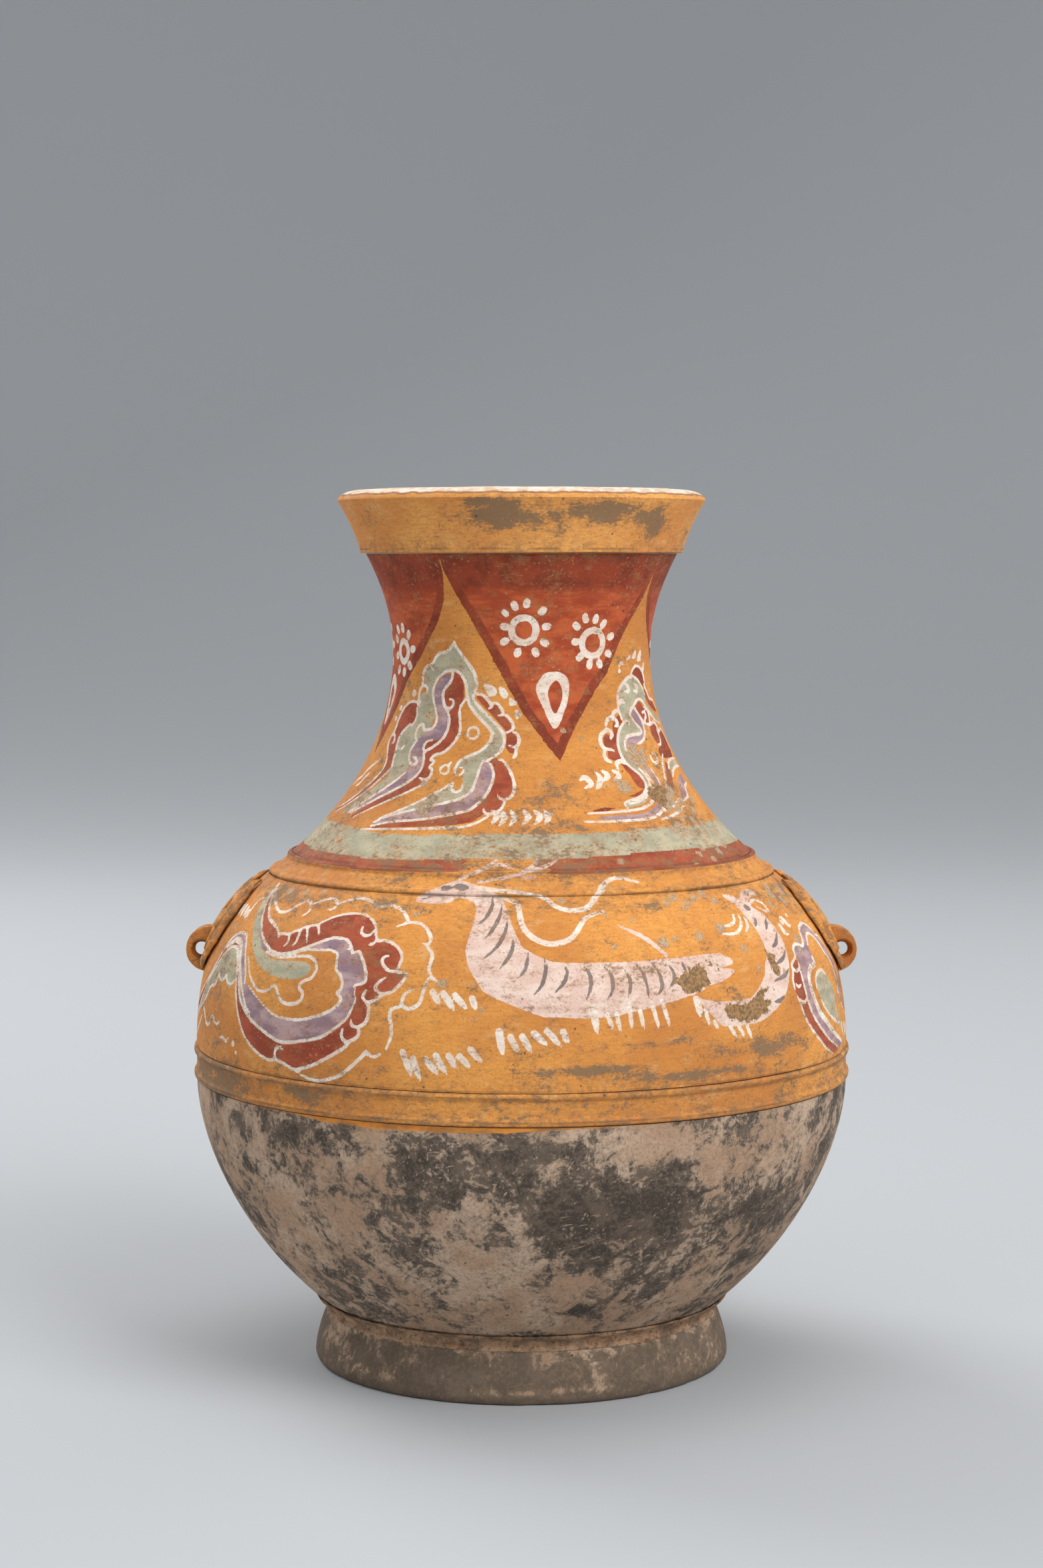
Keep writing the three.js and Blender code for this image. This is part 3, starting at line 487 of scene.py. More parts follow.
SUNS: tuple[Mark, ...] = (
    ring(1, 379.5, 6.2, SUN_WIDTH), ring(32.2, 372.8, 6.4, SUN_WIDTH), ring(-63.6, 368, 5.1, SUN_WIDTH),
    ring(-88, 371, 5.1, SUN_WIDTH),
    *drops(1.2, 379.4, (-7.6, 373.6, -7.5, 381.3, -2.9, 392, 2.2, 393.3, 9, 389.4, 11, 381.3, 10.2, 373,
                        6.2, 368, -1.8, 367.8)),
    *drops(1.2, 379.4, (-7.1, 388.3), 1.5),
    *drops(32.2, 372.8, (27.6, 385.8, 32.9, 385.3, 37.4, 382.8, 23.5, 381.7, 23.4, 373.6, 25.6, 365.6,
                         30.6, 361.7, 36, 361.9, 42.2, 376.1, 41.2, 367.2)),
    *drops(-63.5, 367.8, (-69.1, 379.4, -63.5, 380.4, -58.2, 376.9, -55, 369.4, -57.5, 360.6, -62.7, 357,
                          -68.9, 358, -71.9, 365.6, -71.8, 374.2), 2.0),
    *drops(-88, 371, (-94, 380, -88, 383, -82, 380, -79, 371, -82, 362, -88, 359, -94, 362, -97, 371), 2.0),
    Patch(Pigment.WHITE, (
        6.1, 349.4, 6.8, 353.3, 9.7, 357.8, 14.4, 358.9, 17.9, 357.8, 20.4, 354.4, 20.2, 347.8, 18.2, 340,
        13.2, 330.6, 8.5, 342.2)),
    Patch(Pigment.WHITE, (
        -81.6, 347, -81, 352, -78, 355.6, -74, 355.6, -71, 352, -70.4, 347, -72, 340, -76, 330, -80, 340)),
    Patch(Pigment.WHITE, (
        14.3, 354.4, 11.4, 350, 11.6, 344.4, 13.7, 338, 16.5, 343.3, 17.5, 348.9, 16.2, 353.3), cut=True),
    Patch(Pigment.WHITE, (
        -76, 351, -78.6, 347.5, -77.5, 342, -75.8, 338, -74.2, 342, -73.4, 347.5), cut=True),
)

FLAME: tuple[Mark, ...] = (
    Patch(Pigment.GREEN, (
        -48.5, 342.2, -47.5, 346.8, -44.1, 348.8, -46, 353.3, -46.2, 358.5, -41.8, 362.8, -39.7, 366.1,
        -37.4, 367.8, -34.4, 368.3, -30.2, 372.4, -21.3, 359.5, -19.6, 354.4, -20.6, 347.2, -19.1, 343.3,
        -8.5, 331.1, -6.8, 326.7, -6.9, 322.2, -9.1, 318.3, -11.5, 316.1, -16.5, 313.5, -20.3, 309.5, -21,
        312, -24.1, 310.6, -23.2, 314.4, -20.3, 317.2, -16.2, 319.4, -13.2, 322.8, -11.5, 326.7, -12.4,
        330.6, -19.1, 338.3, -22.2, 343.3, -23.6, 347.8, -24.1, 352.2, -26.2, 356.7, -29.1, 359.1, -32.6,
        359.1, -35.6, 357.8, -38.5, 355, -40.3, 351.1, -40.6, 346.7, -37.9, 338.9, -37.9, 334.4, -40.3,
        328.9, -44.4, 324.4, -46.2, 317.8, -44.4, 311.1, -47.4, 306.7, -56.8, 296.7, -67.4, 286.7, -70.3,
        287.8, -58.5, 300, -53.8, 306.7, -54.4, 313.3, -56.2, 321.1, -55.6, 327.8, -52.1, 331.1, -48.5,
        333.3)),
    Patch(Pigment.RED, (
        -32, 357, -28.8, 358.6, -25.9, 354.6, -25, 349, -25, 345, -26.6, 340, -25.6, 333, -25.2, 328, -27.2,
        322.6, -30.6, 318.6, -34, 317.4, -35.4, 318.4, -34, 314, -34, 307, -36.6, 302.4, -44, 296.6, -52,
        291.2, -61, 285, -60, 288, -52, 295, -44, 301.6, -39.6, 306.4, -38.2, 311, -38.6, 315, -39.6, 319.2,
        -40.2, 322, -38.6, 325, -36, 324.8, -32, 332, -33, 341, -34.6, 347, -33.6, 352)),
    Patch(Pigment.MAUVE, (
        -32.2, 357.6, -35.4, 356.6, -38.6, 352.6, -39.8, 347.4, -38.6, 341, -36.6, 337.6, -35.6, 334.8,
        -38.6, 331, -41.5, 327.6, -44.6, 324.6, -46.6, 320, -46, 315.4, -43.6, 312.4, -45, 308.6, -49,
        303.4, -56, 296, -66, 287.4, -62.6, 287.4, -55.6, 292.2, -48, 298.2, -43, 302, -39.8, 306.2, -38.8,
        310.6, -38.8, 314.6, -40, 318.4, -39.8, 322.6, -38.2, 325, -34.6, 324.6, -31.9, 328.4, -31, 332.4,
        -31.6, 336.6, -33.6, 340.6, -35, 346, -34.2, 350.6, -32, 354.6)),
    Patch(Pigment.RED, (
        -49.7, 342.4, -52.6, 343, -56.2, 341.3, -59.1, 338, -60.9, 333.3, -61.5, 327.8, -62.8, 324.4, -62.6,
        320, -59.1, 313.3, -58.8, 308.9, -62.6, 302.2, -68.5, 295.6, -74.4, 290.6, -80.3, 287, -79.1, 285.6,
        -73.2, 288.9, -67.4, 293.3, -61.5, 298.9, -54.4, 308.9, -56.2, 322.2, -55.6, 326.7, -52.1, 331.1,
        -49.7, 331.7, -48.2, 335.6, -49.1, 340)),
    *lines(
        (-47.5, 343.5, -48.5, 342.2, -49, 347.8, -47.9, 350.6, -45.9, 351.3, -44.1, 350, -44.4, 347.8),
        (-47.9, 350.6, -47.4, 353.3, -47.6, 356.7, -46.2, 360, -43.8, 361.3, -41.2, 358.7),
        (-43.8, 361.3, -41.8, 362.8, -39.7, 366.1, -37.4, 367.8, -34.4, 368.3, -31.8, 370.6, -30.2, 373.4),
        (-30.2, 373.4, -28.8, 370.3, -21.3, 359.5, -19.6, 354.4, -19.2, 351.1, -20.3, 348.9),
        (-37.9, 338.9, -40.6, 346.7, -40.3, 351.1, -38.5, 355, -35.6, 357.8, -32.6, 359.1, -29.1, 359.1,
         -26.2, 356.7, -24.1, 352.2, -23.6, 347.8, -22.2, 343.3, -19.1, 338.3, -12.4, 330.6, -11.5, 326.7,
         -13.2, 322.8, -16.2, 319.4, -20.3, 317.2, -23.2, 314.4, -24.1, 310.6, -22.9, 308.3, -21.2, 308.9,
         -20.9, 311.1, -22.4, 312.2),
        (-20.6, 347.2, -19.1, 343.3, -8.5, 331.1, -6.8, 326.7, -6.9, 322.2, -9.1, 318.3, -13.2, 315),
        (-31, 358.4, -31, 355.8, -32.4, 352.6, -34.8, 349.4, -35, 345.6, -33.6, 341.4, -31.4, 340.2, -29.6,
         341.8, -29.8, 344.4, -31.4, 345),
        (-33.4, 341, -31.2, 337.4, -30.4, 333, -31, 328, -33.4, 323.6, -36.6, 320.6, -39, 319.2, -40.2, 321,
         -39.2, 324, -36.4, 324.6),
        (-24, 345, -26.2, 340.5, -25.4, 334, -25, 328.5, -27.4, 322.5, -30.6, 318.8, -34, 317.4, -35.2,
         315.4, -33.6, 314.2, -34.8, 311.6, -33.2, 310, -33.6, 306.4, -36, 302.6, -43, 297.4, -51, 292, -60,
         285.4),
        (-33.4, 306.8, -35.4, 305.4, -37.8, 306.4),
        (-39.4, 318.6, -38.2, 314, -38.3, 310, -40, 306.2, -44.6, 301.6, -51, 296.8, -57, 292.2, -64,
         286.8),
        (-37.9, 338.9, -36.6, 334.6, -38, 330.5, -42.1, 329.4, -43.2, 331.7, -45, 331.7, -46.5, 328.9,
         -45.9, 325.6, -44.4, 323.9),
        (-45, 323.6, -46.6, 319.4, -45.8, 314.8, -43.4, 312.4, -41.4, 313, -42.4, 315.4, -44.2, 316.2),
        (-45, 308.4, -50, 302.4, -58, 294.4, -66, 286.6),
        width=FINE_LINE),
    *lines(
        (-47.6, 341, -49.7, 342.8, -52.6, 343.1, -56.2, 341.7, -59.1, 338.3, -60.9, 333.3, -61.5, 327.8,
         -63.2, 324.4, -62.6, 320, -59.1, 313.3, -58.8, 308.9),
        (-63.2, 324.4, -62.1, 325.8, -60.3, 325.6, -59.1, 322.8, -60.3, 321.7),
        (-49.1, 340, -48.2, 335.6, -49.7, 331.7, -52.1, 331.1, -55.6, 326.7, -56.2, 322.2, -53.8, 310,
         -54.4, 308.9, -61.5, 298.9, -67.4, 293.3, -73.2, 288.9, -79.1, 285.6),
        (-51.2, 321.1, -52.1, 319.4, -54.4, 319.4),
        (-58.8, 308.9, -62.6, 302.2, -68.5, 295.6, -74.4, 290.6, -80.3, 287.8),
        width=FINE_LINE),
    *lines((-65, 313.3, -72.6, 307.2, -75, 303.9, -78.5, 302.2, -82.1, 298.9),
           (-68.4, 306, -70.6, 304, -73, 300.6, -76, 299), width=1.8),
    ring(-19.3, 328.7, 2.8, 1.4), ring(-28.2, 310.6, 2.1, 1.3),
    Stroke(Pigment.WHITE, 1.4, (-27, 312.4, -26.2, 314.6), 1.0, 0.4),
    Spots(Pigment.WHITE, (-52.5, 347.2, 1.9, -61.2, 339.4, 1.5, -63.5, 333.9, 1.4)),
)

CURLS: tuple[Mark, ...] = (
    Patch(Pigment.RED, (
        -19.6, 347, -16.2, 346.4, -12.4, 342.8, -10.3, 342.6, -7.4, 337.6, -5, 335.4, -3.6, 333, -3.7,
        330.4, -3.2, 329, -1.6, 327.4, -1.1, 325, -2.8, 319, -5.8, 321.5, -5.9, 327, -7.6, 332, -18,
        344.6)),
    *lines(
        (-20, 347.8, -16.2, 347.2, -12.4, 342.2, -13.5, 340.6),
        (-12.4, 343.3, -10.3, 343.3, -8.2, 340.6, -7.6, 337.8, -9.7, 337.2),
        (-7.4, 338.3, -5, 336.1, -3.5, 333.3, -3.5, 330.6, -5.9, 328.9),
        (-3.2, 329.4, -1.5, 327.8, -0.9, 325, -2.1, 322.2, -4.7, 322.8),
        (-1.8, 321.7, -2.4, 317.8, -3.2, 317.2), width=FINE_LINE),
    Patch(Pigment.WHITE, (-16.6, 352.5, -13, 352.2, -10.6, 350.2, -10.8, 347.2, -13.2, 346.8, -15, 349)),
    Patch(Pigment.WHITE, (-9.4, 351.6, -6.6, 350, -5.6, 347.2, -7.2, 345.6, -9, 347.6)),
    Patch(Pigment.WHITE, (-5, 346.4, -3.4, 345, -1.4, 343.2, -4.8, 342.2)),
    Patch(Pigment.WHITE, (-2.4, 340.2, 0, 338.2, -1.8, 335.4, -2.6, 337.2)),
    Patch(Pigment.RED, (
        -9.7, 316.7, -6.2, 315, -3.8, 310, -2.6, 303, -4, 298, -7.4, 291.7, -10.9, 290.6, -15, 286.5, -23.2,
        284.5, -49.7, 281.3, -40.9, 284.4, -29.4, 286.6, -17.9, 290.5, -15, 292.7, -12.1, 297.2, -10.3,
        302.7, -9.7, 308.3, -10.9, 313.3, -12.6, 315.6)),
    Patch(Pigment.MAUVE, (
        -48.5, 282.6, -40.9, 285.4, -29.4, 287.6, -17.9, 291.5, -15, 293.7, -12.1, 298.2, -10.3, 303.7,
        -9.7, 309.3, -10.9, 313.3, -13.8, 315.6, -15.6, 307.8, -15.9, 304.4, -16.8, 300.6, -19.1, 297.8,
        -23.2, 295.6, -43.8, 287.2)),
    Patch(Pigment.GREEN, (
        -48.5, 284.2, -43.8, 287.5, -37.9, 290.4, -23.2, 296, -19.1, 298.2, -16.8, 301, -14.2, 314.6, -16.5,
        313.5, -20.3, 309, -20.3, 303.9, -22.1, 300, -23.8, 303.9, -25, 303.3, -35, 294.4, -46.8, 286.1)),
    *lines(
        (-52, 280.4, -23.2, 283.3, -15, 285, -9.7, 289.4),
        (-48.5, 282.2, -40.9, 285, -29.4, 287.2, -17.9, 291.1, -15, 293.3, -12.1, 297.8, -10.3, 303.3,
         -9.7, 308.9, -10.9, 313.3, -12.6, 315),
        (-48.5, 283.9, -43.8, 287.2, -37.9, 290, -23.2, 295.6, -19.1, 297.8, -16.8, 300.6, -15.9, 304.4,
         -14.7, 312.8, -13.8, 315.6),
        (-46.8, 286.1, -35, 294.4, -25, 303.3, -23.8, 303.9, -23.8, 302.2, -22.1, 300, -20, 301.7, -20.3,
         303.9),
        (-8.2, 316.1, -6.2, 315, -3.8, 310, -2.4, 304.4, -2.9, 299.4, -5, 297.2, -7.1, 297.8, -7.5, 299.4),
        (-5.3, 296.1, -6.2, 292.8, -8.5, 290.6, -10.9, 290.6, -11.8, 292.8), width=1.7),
    *crescents(
        (-9, 292.3, -7.3, 289.4, -8.8, 285.4), (-6.4, 292.3, -4.9, 288.8, -6.4, 285),
        (-3.5, 292.4, -2, 288.8, -3.5, 284.8), (0, 292.6, 2, 289, 0, 285.2),
        (3.5, 292.6, 5.4, 289, 3.6, 285.4), (6.5, 292.4, 8, 289, 6.6, 285.6),
        width=3.2, pigment=Pigment.WHITE),
    *crescents(
        (20, 305.6, 22.1, 307.2, 24.1, 303.9, 20.9, 301.7),
        (26.5, 310, 27.9, 306.7, 26.8, 303.3, 25.3, 301.3), (29, 310.4, 31.4, 307.6, 28.8, 305),
        (33.4, 310.4, 35.9, 307.6, 33.2, 305), width=3.2, pigment=Pigment.WHITE),
)

RIGHT_FLAME: tuple[Mark, ...] = (
    Patch(Pigment.MAUVE, (
        20.5, 288.2, 30, 288.8, 38, 289, 44, 290.6, 49, 294.6, 51.6, 299, 52, 304, 50.4, 309, 53, 309.4,
        54.2, 304, 53.4, 298, 50, 292.4, 45, 288.4, 38, 286.8, 30, 286.8)),
    Patch(Pigment.GREEN, (
        34.6, 292, 41, 293.4, 46, 296.6, 49, 300.6, 49.6, 304.4, 48.4, 308.4, 44.6, 314.6, 43.4, 319, 43.6,
        323, 46, 325.8, 50, 326.6, 54.6, 327.4, 56, 329, 52.6, 332.4, 50.6, 336.4, 52, 339.4, 56, 342.6, 60,
        343.8, 66, 342, 65.6, 347.6, 62.6, 351.6, 58, 354.6, 53, 354.4, 48, 351.6, 45.4, 348, 44.8, 342,
        45.4, 336.4, 47, 332.6, 43.4, 331, 40.8, 326.4, 39.8, 320.6, 41, 315, 45.4, 309, 47.4, 304.4, 46.6,
        300.4, 42, 296.6, 34.6, 294)),
    Patch(Pigment.MAUVE, (
        51.4, 338.2, 54, 339.6, 57.4, 335.4, 58.6, 330, 57.8, 326, 54.6, 323, 50, 321.6, 46.4, 319.6, 44.2,
        321, 44.8, 324.2, 48, 326, 54.4, 326.8, 56.4, 329.2, 53.2, 333)),
    Patch(Pigment.RED, (
        33.4, 321.4, 33.4, 325.6, 35.4, 327.6, 38.2, 325.6, 39, 329.6, 40.4, 334, 43.4, 336.6, 45, 336.4,
        45.2, 333, 42.6, 331, 40.4, 326, 39.4, 320.4, 40.4, 315.4, 37, 314.4, 33.8, 316, 34, 319)),
    Patch(Pigment.RED, (38.4, 314, 41, 314.8, 44.4, 309.4, 46.6, 304.4, 45.6, 300.6, 42.6, 301.6, 41, 307)),
    Patch(Pigment.RED, (34, 297, 39, 298, 44.6, 300.2, 41, 297.2)),
    Patch(Pigment.BRICK, (22, 291.2, 26, 292.6, 30, 292, 26, 290.8)),
    Patch(Pigment.RED, (
        55, 341, 57, 342.8, 60, 342.8, 62, 340, 65.6, 338, 66, 334.6, 64.4, 331, 60.4, 330.6, 58.6, 333.4,
        57, 337)),
    Patch(Pigment.RED, (64.6, 331, 69, 331.6, 72, 328.4, 71, 324.4, 69, 321, 66, 321, 63.4, 326)),
    Patch(Pigment.BRICK, (
        72, 326, 76, 328.2, 79.4, 324, 80, 318, 77, 313.8, 70, 313.6, 64.4, 315, 65, 318.6, 70, 321)),
    Patch(Pigment.RED, (57.4, 298.4, 62, 306, 65.8, 312.4, 67, 309, 64.4, 303.6, 61, 298.4)),
    Patch(Pigment.BRICK, (
        56.4, 356.4, 58.6, 359.2, 61.6, 360, 65, 358.4, 67.2, 354.4, 66.4, 350.4, 62.4, 352.6, 58.8,
        355.6)),
    Patch(Pigment.RED, (
        66.4, 349, 69, 346.4, 72, 342.8, 76, 341.6, 79, 337, 74, 337.4, 69, 341, 66.2, 345)),
    Patch(Pigment.GREEN, (
        65.6, 342, 70, 337.6, 75, 335, 80, 333.6, 80, 331.6, 74, 332.6, 69, 335.4, 64, 340.6)),
    Patch(Pigment.MAUVE, (63, 293.6, 66, 299, 70.6, 303.6, 76, 305, 76, 301.4, 71.6, 299.6, 68.6, 295.4)),
    Patch(Pigment.GREEN, (67, 307.6, 71, 311.4, 80, 312, 80, 309.6, 73, 308.6)),
    *lines(
        (20.5, 290.2, 32, 290.6, 40, 291.4, 45.6, 294, 49.8, 298.6, 50.6, 303.4, 49.2, 309),
        (18.5, 286.4, 30, 286.2, 40, 286.4, 46, 288.2, 51, 292.6, 54, 298.4, 54.6, 304, 53.2, 309.6),
        (34.6, 291.6, 34.6, 294.6, 41.6, 296.8, 45.6, 300, 46.8, 303.6, 45.6, 307.4, 42, 312, 40, 317, 39.8,
         322, 41.2, 327, 43.6, 330.6, 46.2, 333.2, 48.8, 333.4, 48.8, 331.4),
        (46.4, 310.4, 48.6, 306.6, 48.8, 302.6, 46.4, 298.6, 42, 295.4, 36, 293.6),
        (45.2, 334.4, 44.4, 339, 44.8, 345, 46.2, 349, 49.4, 352.6, 53, 355, 57, 355.4, 61, 353.6, 64.4,
         350, 66.8, 345.6),
        (50.4, 336, 52, 338.6, 55.4, 341.6, 58.4, 343.6, 61.6, 343.4, 65, 340, 69.4, 335, 74, 332, 80,
         330.4),
        (50.6, 336.4, 53, 332.4, 56, 328.8, 54.6, 327, 49.6, 326.6, 45.6, 325.8, 43.4, 322.4, 43.4, 319.4,
         45, 317.4),
        (52, 339.8, 54.6, 339.6, 57.6, 335, 58.6, 330, 57.4, 325.8, 54, 323, 50.6, 322),
        (55, 340.6, 57, 336.6, 60.6, 331.8, 64.6, 331, 69, 331.8, 71.6, 330, 73, 327, 76.6, 328.2, 79.6,
         324.4, 80.6, 318),
        (60.2, 337, 62.4, 337.4, 62.8, 335, 61, 333.6),
        (64.6, 331, 66, 334.6, 65.4, 338, 62.6, 339.6), (70.6, 328, 71, 324.4, 69, 320.8, 66, 320.6),
        (55.6, 356.8, 58.4, 360, 62, 360.6, 65.6, 358.6, 68, 354.4, 67.6, 350.6, 69.6, 347, 71.4, 343.8, 76,
         342.8, 79.6, 338.6),
        (56.6, 299, 60, 305.6, 63.6, 312.4, 67, 316), (66, 308.6, 70, 312.2, 75, 312.8, 81, 312.4),
        (66, 304.6, 70.6, 308, 76, 309, 81, 308.6), (63, 293, 68.6, 294.6, 72, 299, 77, 300.6),
        (47, 289, 56, 291.6, 62, 294.6), (45.6, 285.6, 54, 287.6, 62, 291), width=FINE_LINE),
    *lines(
        (36, 332, 37.2, 334.8, 39.6, 335.4, 41.8, 334, 42, 331.8, 40.6, 331.4),
        (40.4, 336.8, 42, 338.6, 44.2, 339),
        (37, 325.6, 38.2, 327.4, 37.4, 329.2, 35, 329.2, 32.8, 327.4, 31.8, 324, 32.8, 320.8, 35, 320.2, 37,
         319.4),
        (33, 320, 32.2, 317.6, 32.8, 315, 34.4, 314),
        (36.6, 310.8, 36.6, 313.4, 38.8, 314.2, 40.2, 313),
        (50, 352.6, 52.6, 350.4, 52.4, 348.2, 50, 348.4), (57.8, 352, 59.8, 350, 58.8, 348, 56.8, 348.2),
        (44.8, 341.8, 46.8, 343.8, 48.6, 342.4), width=2.3),
    ring(58.3, 314.7, 2.6, 1.7, 0.8),
    *lines((47.4, 361, 48.8, 362.6, 50.4, 361.8), width=1.7),
    Patch(Pigment.WHITE, (51.8, 363.2, 54, 365.8, 56, 366.2, 55.4, 364.6)),
    Patch(Pigment.WHITE, (56.8, 364.8, 59.6, 368.8, 60.6, 367.6, 60, 364.6)),
    Patch(Pigment.WHITE, (61.2, 363.6, 64.6, 368.4, 66, 367, 65, 363)),
    Patch(Pigment.WHITE, (65.8, 358, 68.4, 362.4, 70, 361.4, 68.6, 358.2)),
    Spots(Pigment.WHITE, (47.4, 358.4, 1.1)),
)

NECK_WEAR: tuple[Mark, ...] = (
    Spots(Pigment.CRUST, (
        44, 316, 3.4, 47, 318.6, 4, 50.6, 315.4, 4, 46, 312.4, 2.6, 49.6, 311.4, 3, 52.6, 319, 2, 36.5,
        301.7, 3.8, 34.6, 304.6, 2, 52.6, 290.4, 3, 55.6, 294.4, 3.4, 58.6, 298, 3, 57, 289.6, 2.6, 48.6,
        280.4, 2.8, 51.6, 282.2, 2.6, 62, 277, 3, 66, 271, 2.6, 60.4, 284, 2.4, -33, 292.6, 3, -31, 289.6,
        2.6, -35, 303.6, 2, 16.6, 330, 1.2, 23.4, 325.6, 1.4, 9, 290.6, 1, -1.4, 338, 1.6, 25, 268, 1.8, 28,
        262.6, 1.4, 47, 264, 1.8, 55, 266, 2, 17, 276.4, 1, 51, 269, 2, 54, 271.4, 2.4, 58, 273.6, 2, 49.4,
        276.4, 2, 53.6, 278.6, 2.6, 60.6, 269, 2.4, 64.6, 281.6, 2.4, 61.6, 293, 2.4, 65.6, 288, 2.6, 69,
        277, 2.8, 70, 293, 2.4, 55.6, 285.4, 2.2)),
    Patch(Pigment.WORN, (
        45, 296, 47.5, 301.5, 49.6, 300, 52, 303, 54.5, 300.8, 56, 294, 53.5, 289.5, 50, 290.6, 48, 292.6)),
)

BANDS: tuple[Mark, ...] = (
    Patch(Pigment.GREEN, (
        -100, 270.4, -80, 269, -40, 267.9, -10, 270, 12, 270, 36, 271.6, 100, 270.2, 100, 281.6, 86, 281,
        70, 282, 56, 281.4, 44, 282.2, 18, 281, -6, 281.2, -42, 279, -54, 280.6, -68, 281.4, -84, 281, -100,
        281.6), straight=True),
    Patch(Pigment.RED, (
        -100, 270.4, -80, 269, -40, 267.9, -30, 268.2, -14.4, 270, -13.2, 268.8, -14.6, 267.6, -13.4, 266,
        -15, 264.2, -30, 263.4, -100, 263.6), straight=True),
    Patch(Pigment.RED, (
        2, 267, 6, 268.4, 4, 270, 36, 271.6, 100, 270.2, 100, 263.6, 24, 263.6, 12, 263, 5, 264, 8, 265.4),
        straight=True),
    *lines((0, 264.6, 4.4, 266, 8.6, 269.4), width=2.6, pigment=Pigment.BONE),
)

NECK_PAINTING: tuple[Mark, ...] = (
    *TRIANGLES, *BANDS, *FLAME, *CURLS, *RIGHT_FLAME, *SUNS, *NECK_WEAR)


# The shapes, drawn as sections and thrown round the upright axis.


@dataclass(frozen=True)
class Pull:
    """One curve of a wall in section, in millimetres out from the axis and up from the ground.

    Attributes:
        start: Where it begins.
        end: Where it stops.
        rows: How many rows of faces it gets.
        leave: Direction at the start, in degrees from straight outwards, or None along the chord.
        arrive: Direction at the end, the same way.
        reach: Length of both handles, as a share of the chord.
    """

    start: Spot
    end: Spot
    rows: int
    leave: float | None = None
    arrive: float | None = None
    reach: float = 1 / 3

    def handles(self) -> tuple[np.ndarray, np.ndarray]:
        """Finds the two handles of the curve."""
        start, end = np.array(self.start), np.array(self.end)
        chord = end - start
        along = math.degrees(math.atan2(chord[1], chord[0]))
        length = float(np.hypot(*chord)) * self.reach
        first = math.radians(along if self.leave is None else self.leave)
        last = math.radians(along if self.arrive is None else self.arrive)
        return (start + length * np.array((math.cos(first), math.sin(first))),
                end - length * np.array((math.cos(last), math.sin(last))))

    def points(self, count: int) -> np.ndarray:
        """Samples the curve.

        Args:
            count: How many points are taken.

        Returns:
            One row of radius and height for each point.
        """
        first, last = self.handles()
        t = np.linspace(0, 1, count)[:, None]
        return ((1 - t) ** 3 * np.array(self.start) + 3 * t * (1 - t) ** 2 * first
                + 3 * t**2 * (1 - t) * last + t**3 * np.array(self.end))


def deselect() -> None:
    """Lets go of everything, in object mode."""
    if bpy.context.object and bpy.context.object.mode != "OBJECT":
        bpy.ops.object.mode_set(mode="OBJECT")
    bpy.ops.object.select_all(action="DESELECT")


def choose(*objects: bpy.types.Object) -> None:
    """Selects these objects alone and makes the first one active.

    Args:
        objects: The objects to work on.
    """
    deselect()
    for item in objects:
        item.select_set(True)
    bpy.context.view_layer.objects.active = objects[0]


def apply(piece: bpy.types.Object, kind: str, **settings: object) -> None:
    """Puts a modifier on a piece and applies it.

    Args:
        piece: The piece.
        kind: Blender's name of the modifier.
        settings: Its values.
    """
    choose(piece)
    modifier = piece.modifiers.new(kind.lower(), kind)
    for name, value in settings.items():
        setattr(modifier, name, value)
    bpy.ops.object.modifier_apply(modifier=modifier.name)


def tidy(piece: bpy.types.Object, sharp: float = 35) -> None:
    """Welds a piece, turns its faces outwards and shades it.

    Args:
        piece: The piece.
        sharp: Angle in degrees past which an edge stays crisp.
    """
    choose(piece)
    bpy.ops.object.mode_set(mode="EDIT")
    bpy.ops.mesh.select_all(action="SELECT")
    bpy.ops.mesh.remove_doubles(threshold=WELD)
    bpy.ops.mesh.normals_make_consistent(inside=False)
    bpy.ops.object.mode_set(mode="OBJECT")
    bpy.ops.object.shade_smooth_by_angle(angle=math.radians(sharp))


def throw(name: str, section: list[Pull], columns: int) -> bpy.types.Object:
    """Draws a section as Bezier curves and turns it round the upright axis.

    Args:
        name: Name of the new piece.
        section: The curves, one after another, ending where they began or on the axis.
        columns: How many faces it has round.

    Returns:
        The welded piece, at the origin.
    """
    drawn: list[bpy.types.Object] = []
    for pull in section:
        deselect()
        bpy.ops.curve.primitive_bezier_curve_add(radius=MM, location=(0, 0, 0))
        curve = bpy.context.object
        spline = curve.data.splines[0]
        spline.resolution_u = pull.rows
        first, last = spline.bezier_points
        leave, arrive = pull.handles()
        for point, place in ((first, pull.start), (last, pull.end)):
            point.handle_left_type = point.handle_right_type = "FREE"
            point.co = point.handle_left = point.handle_right = (place[0] * MM, 0, place[1] * MM)
        first.handle_right = (leave[0] * MM, 0, leave[1] * MM)
        last.handle_left = (arrive[0] * MM, 0, arrive[1] * MM)
        drawn.append(curve)
    choose(*drawn)
    bpy.ops.object.join()
    bpy.ops.object.convert(target="MESH")
    piece = bpy.context.object
    piece.name = piece.data.name = name
    bpy.ops.object.mode_set(mode="EDIT")
    bpy.ops.mesh.select_all(action="SELECT")
    bpy.ops.mesh.remove_doubles(threshold=WELD)
    bpy.ops.object.mode_set(mode="OBJECT")
    apply(piece, "SCREW", steps=columns, render_steps=columns, axis="Z", angle=2 * math.pi,
          use_merge_vertices=True, merge_threshold=WELD)
    tidy(piece)
    return piece


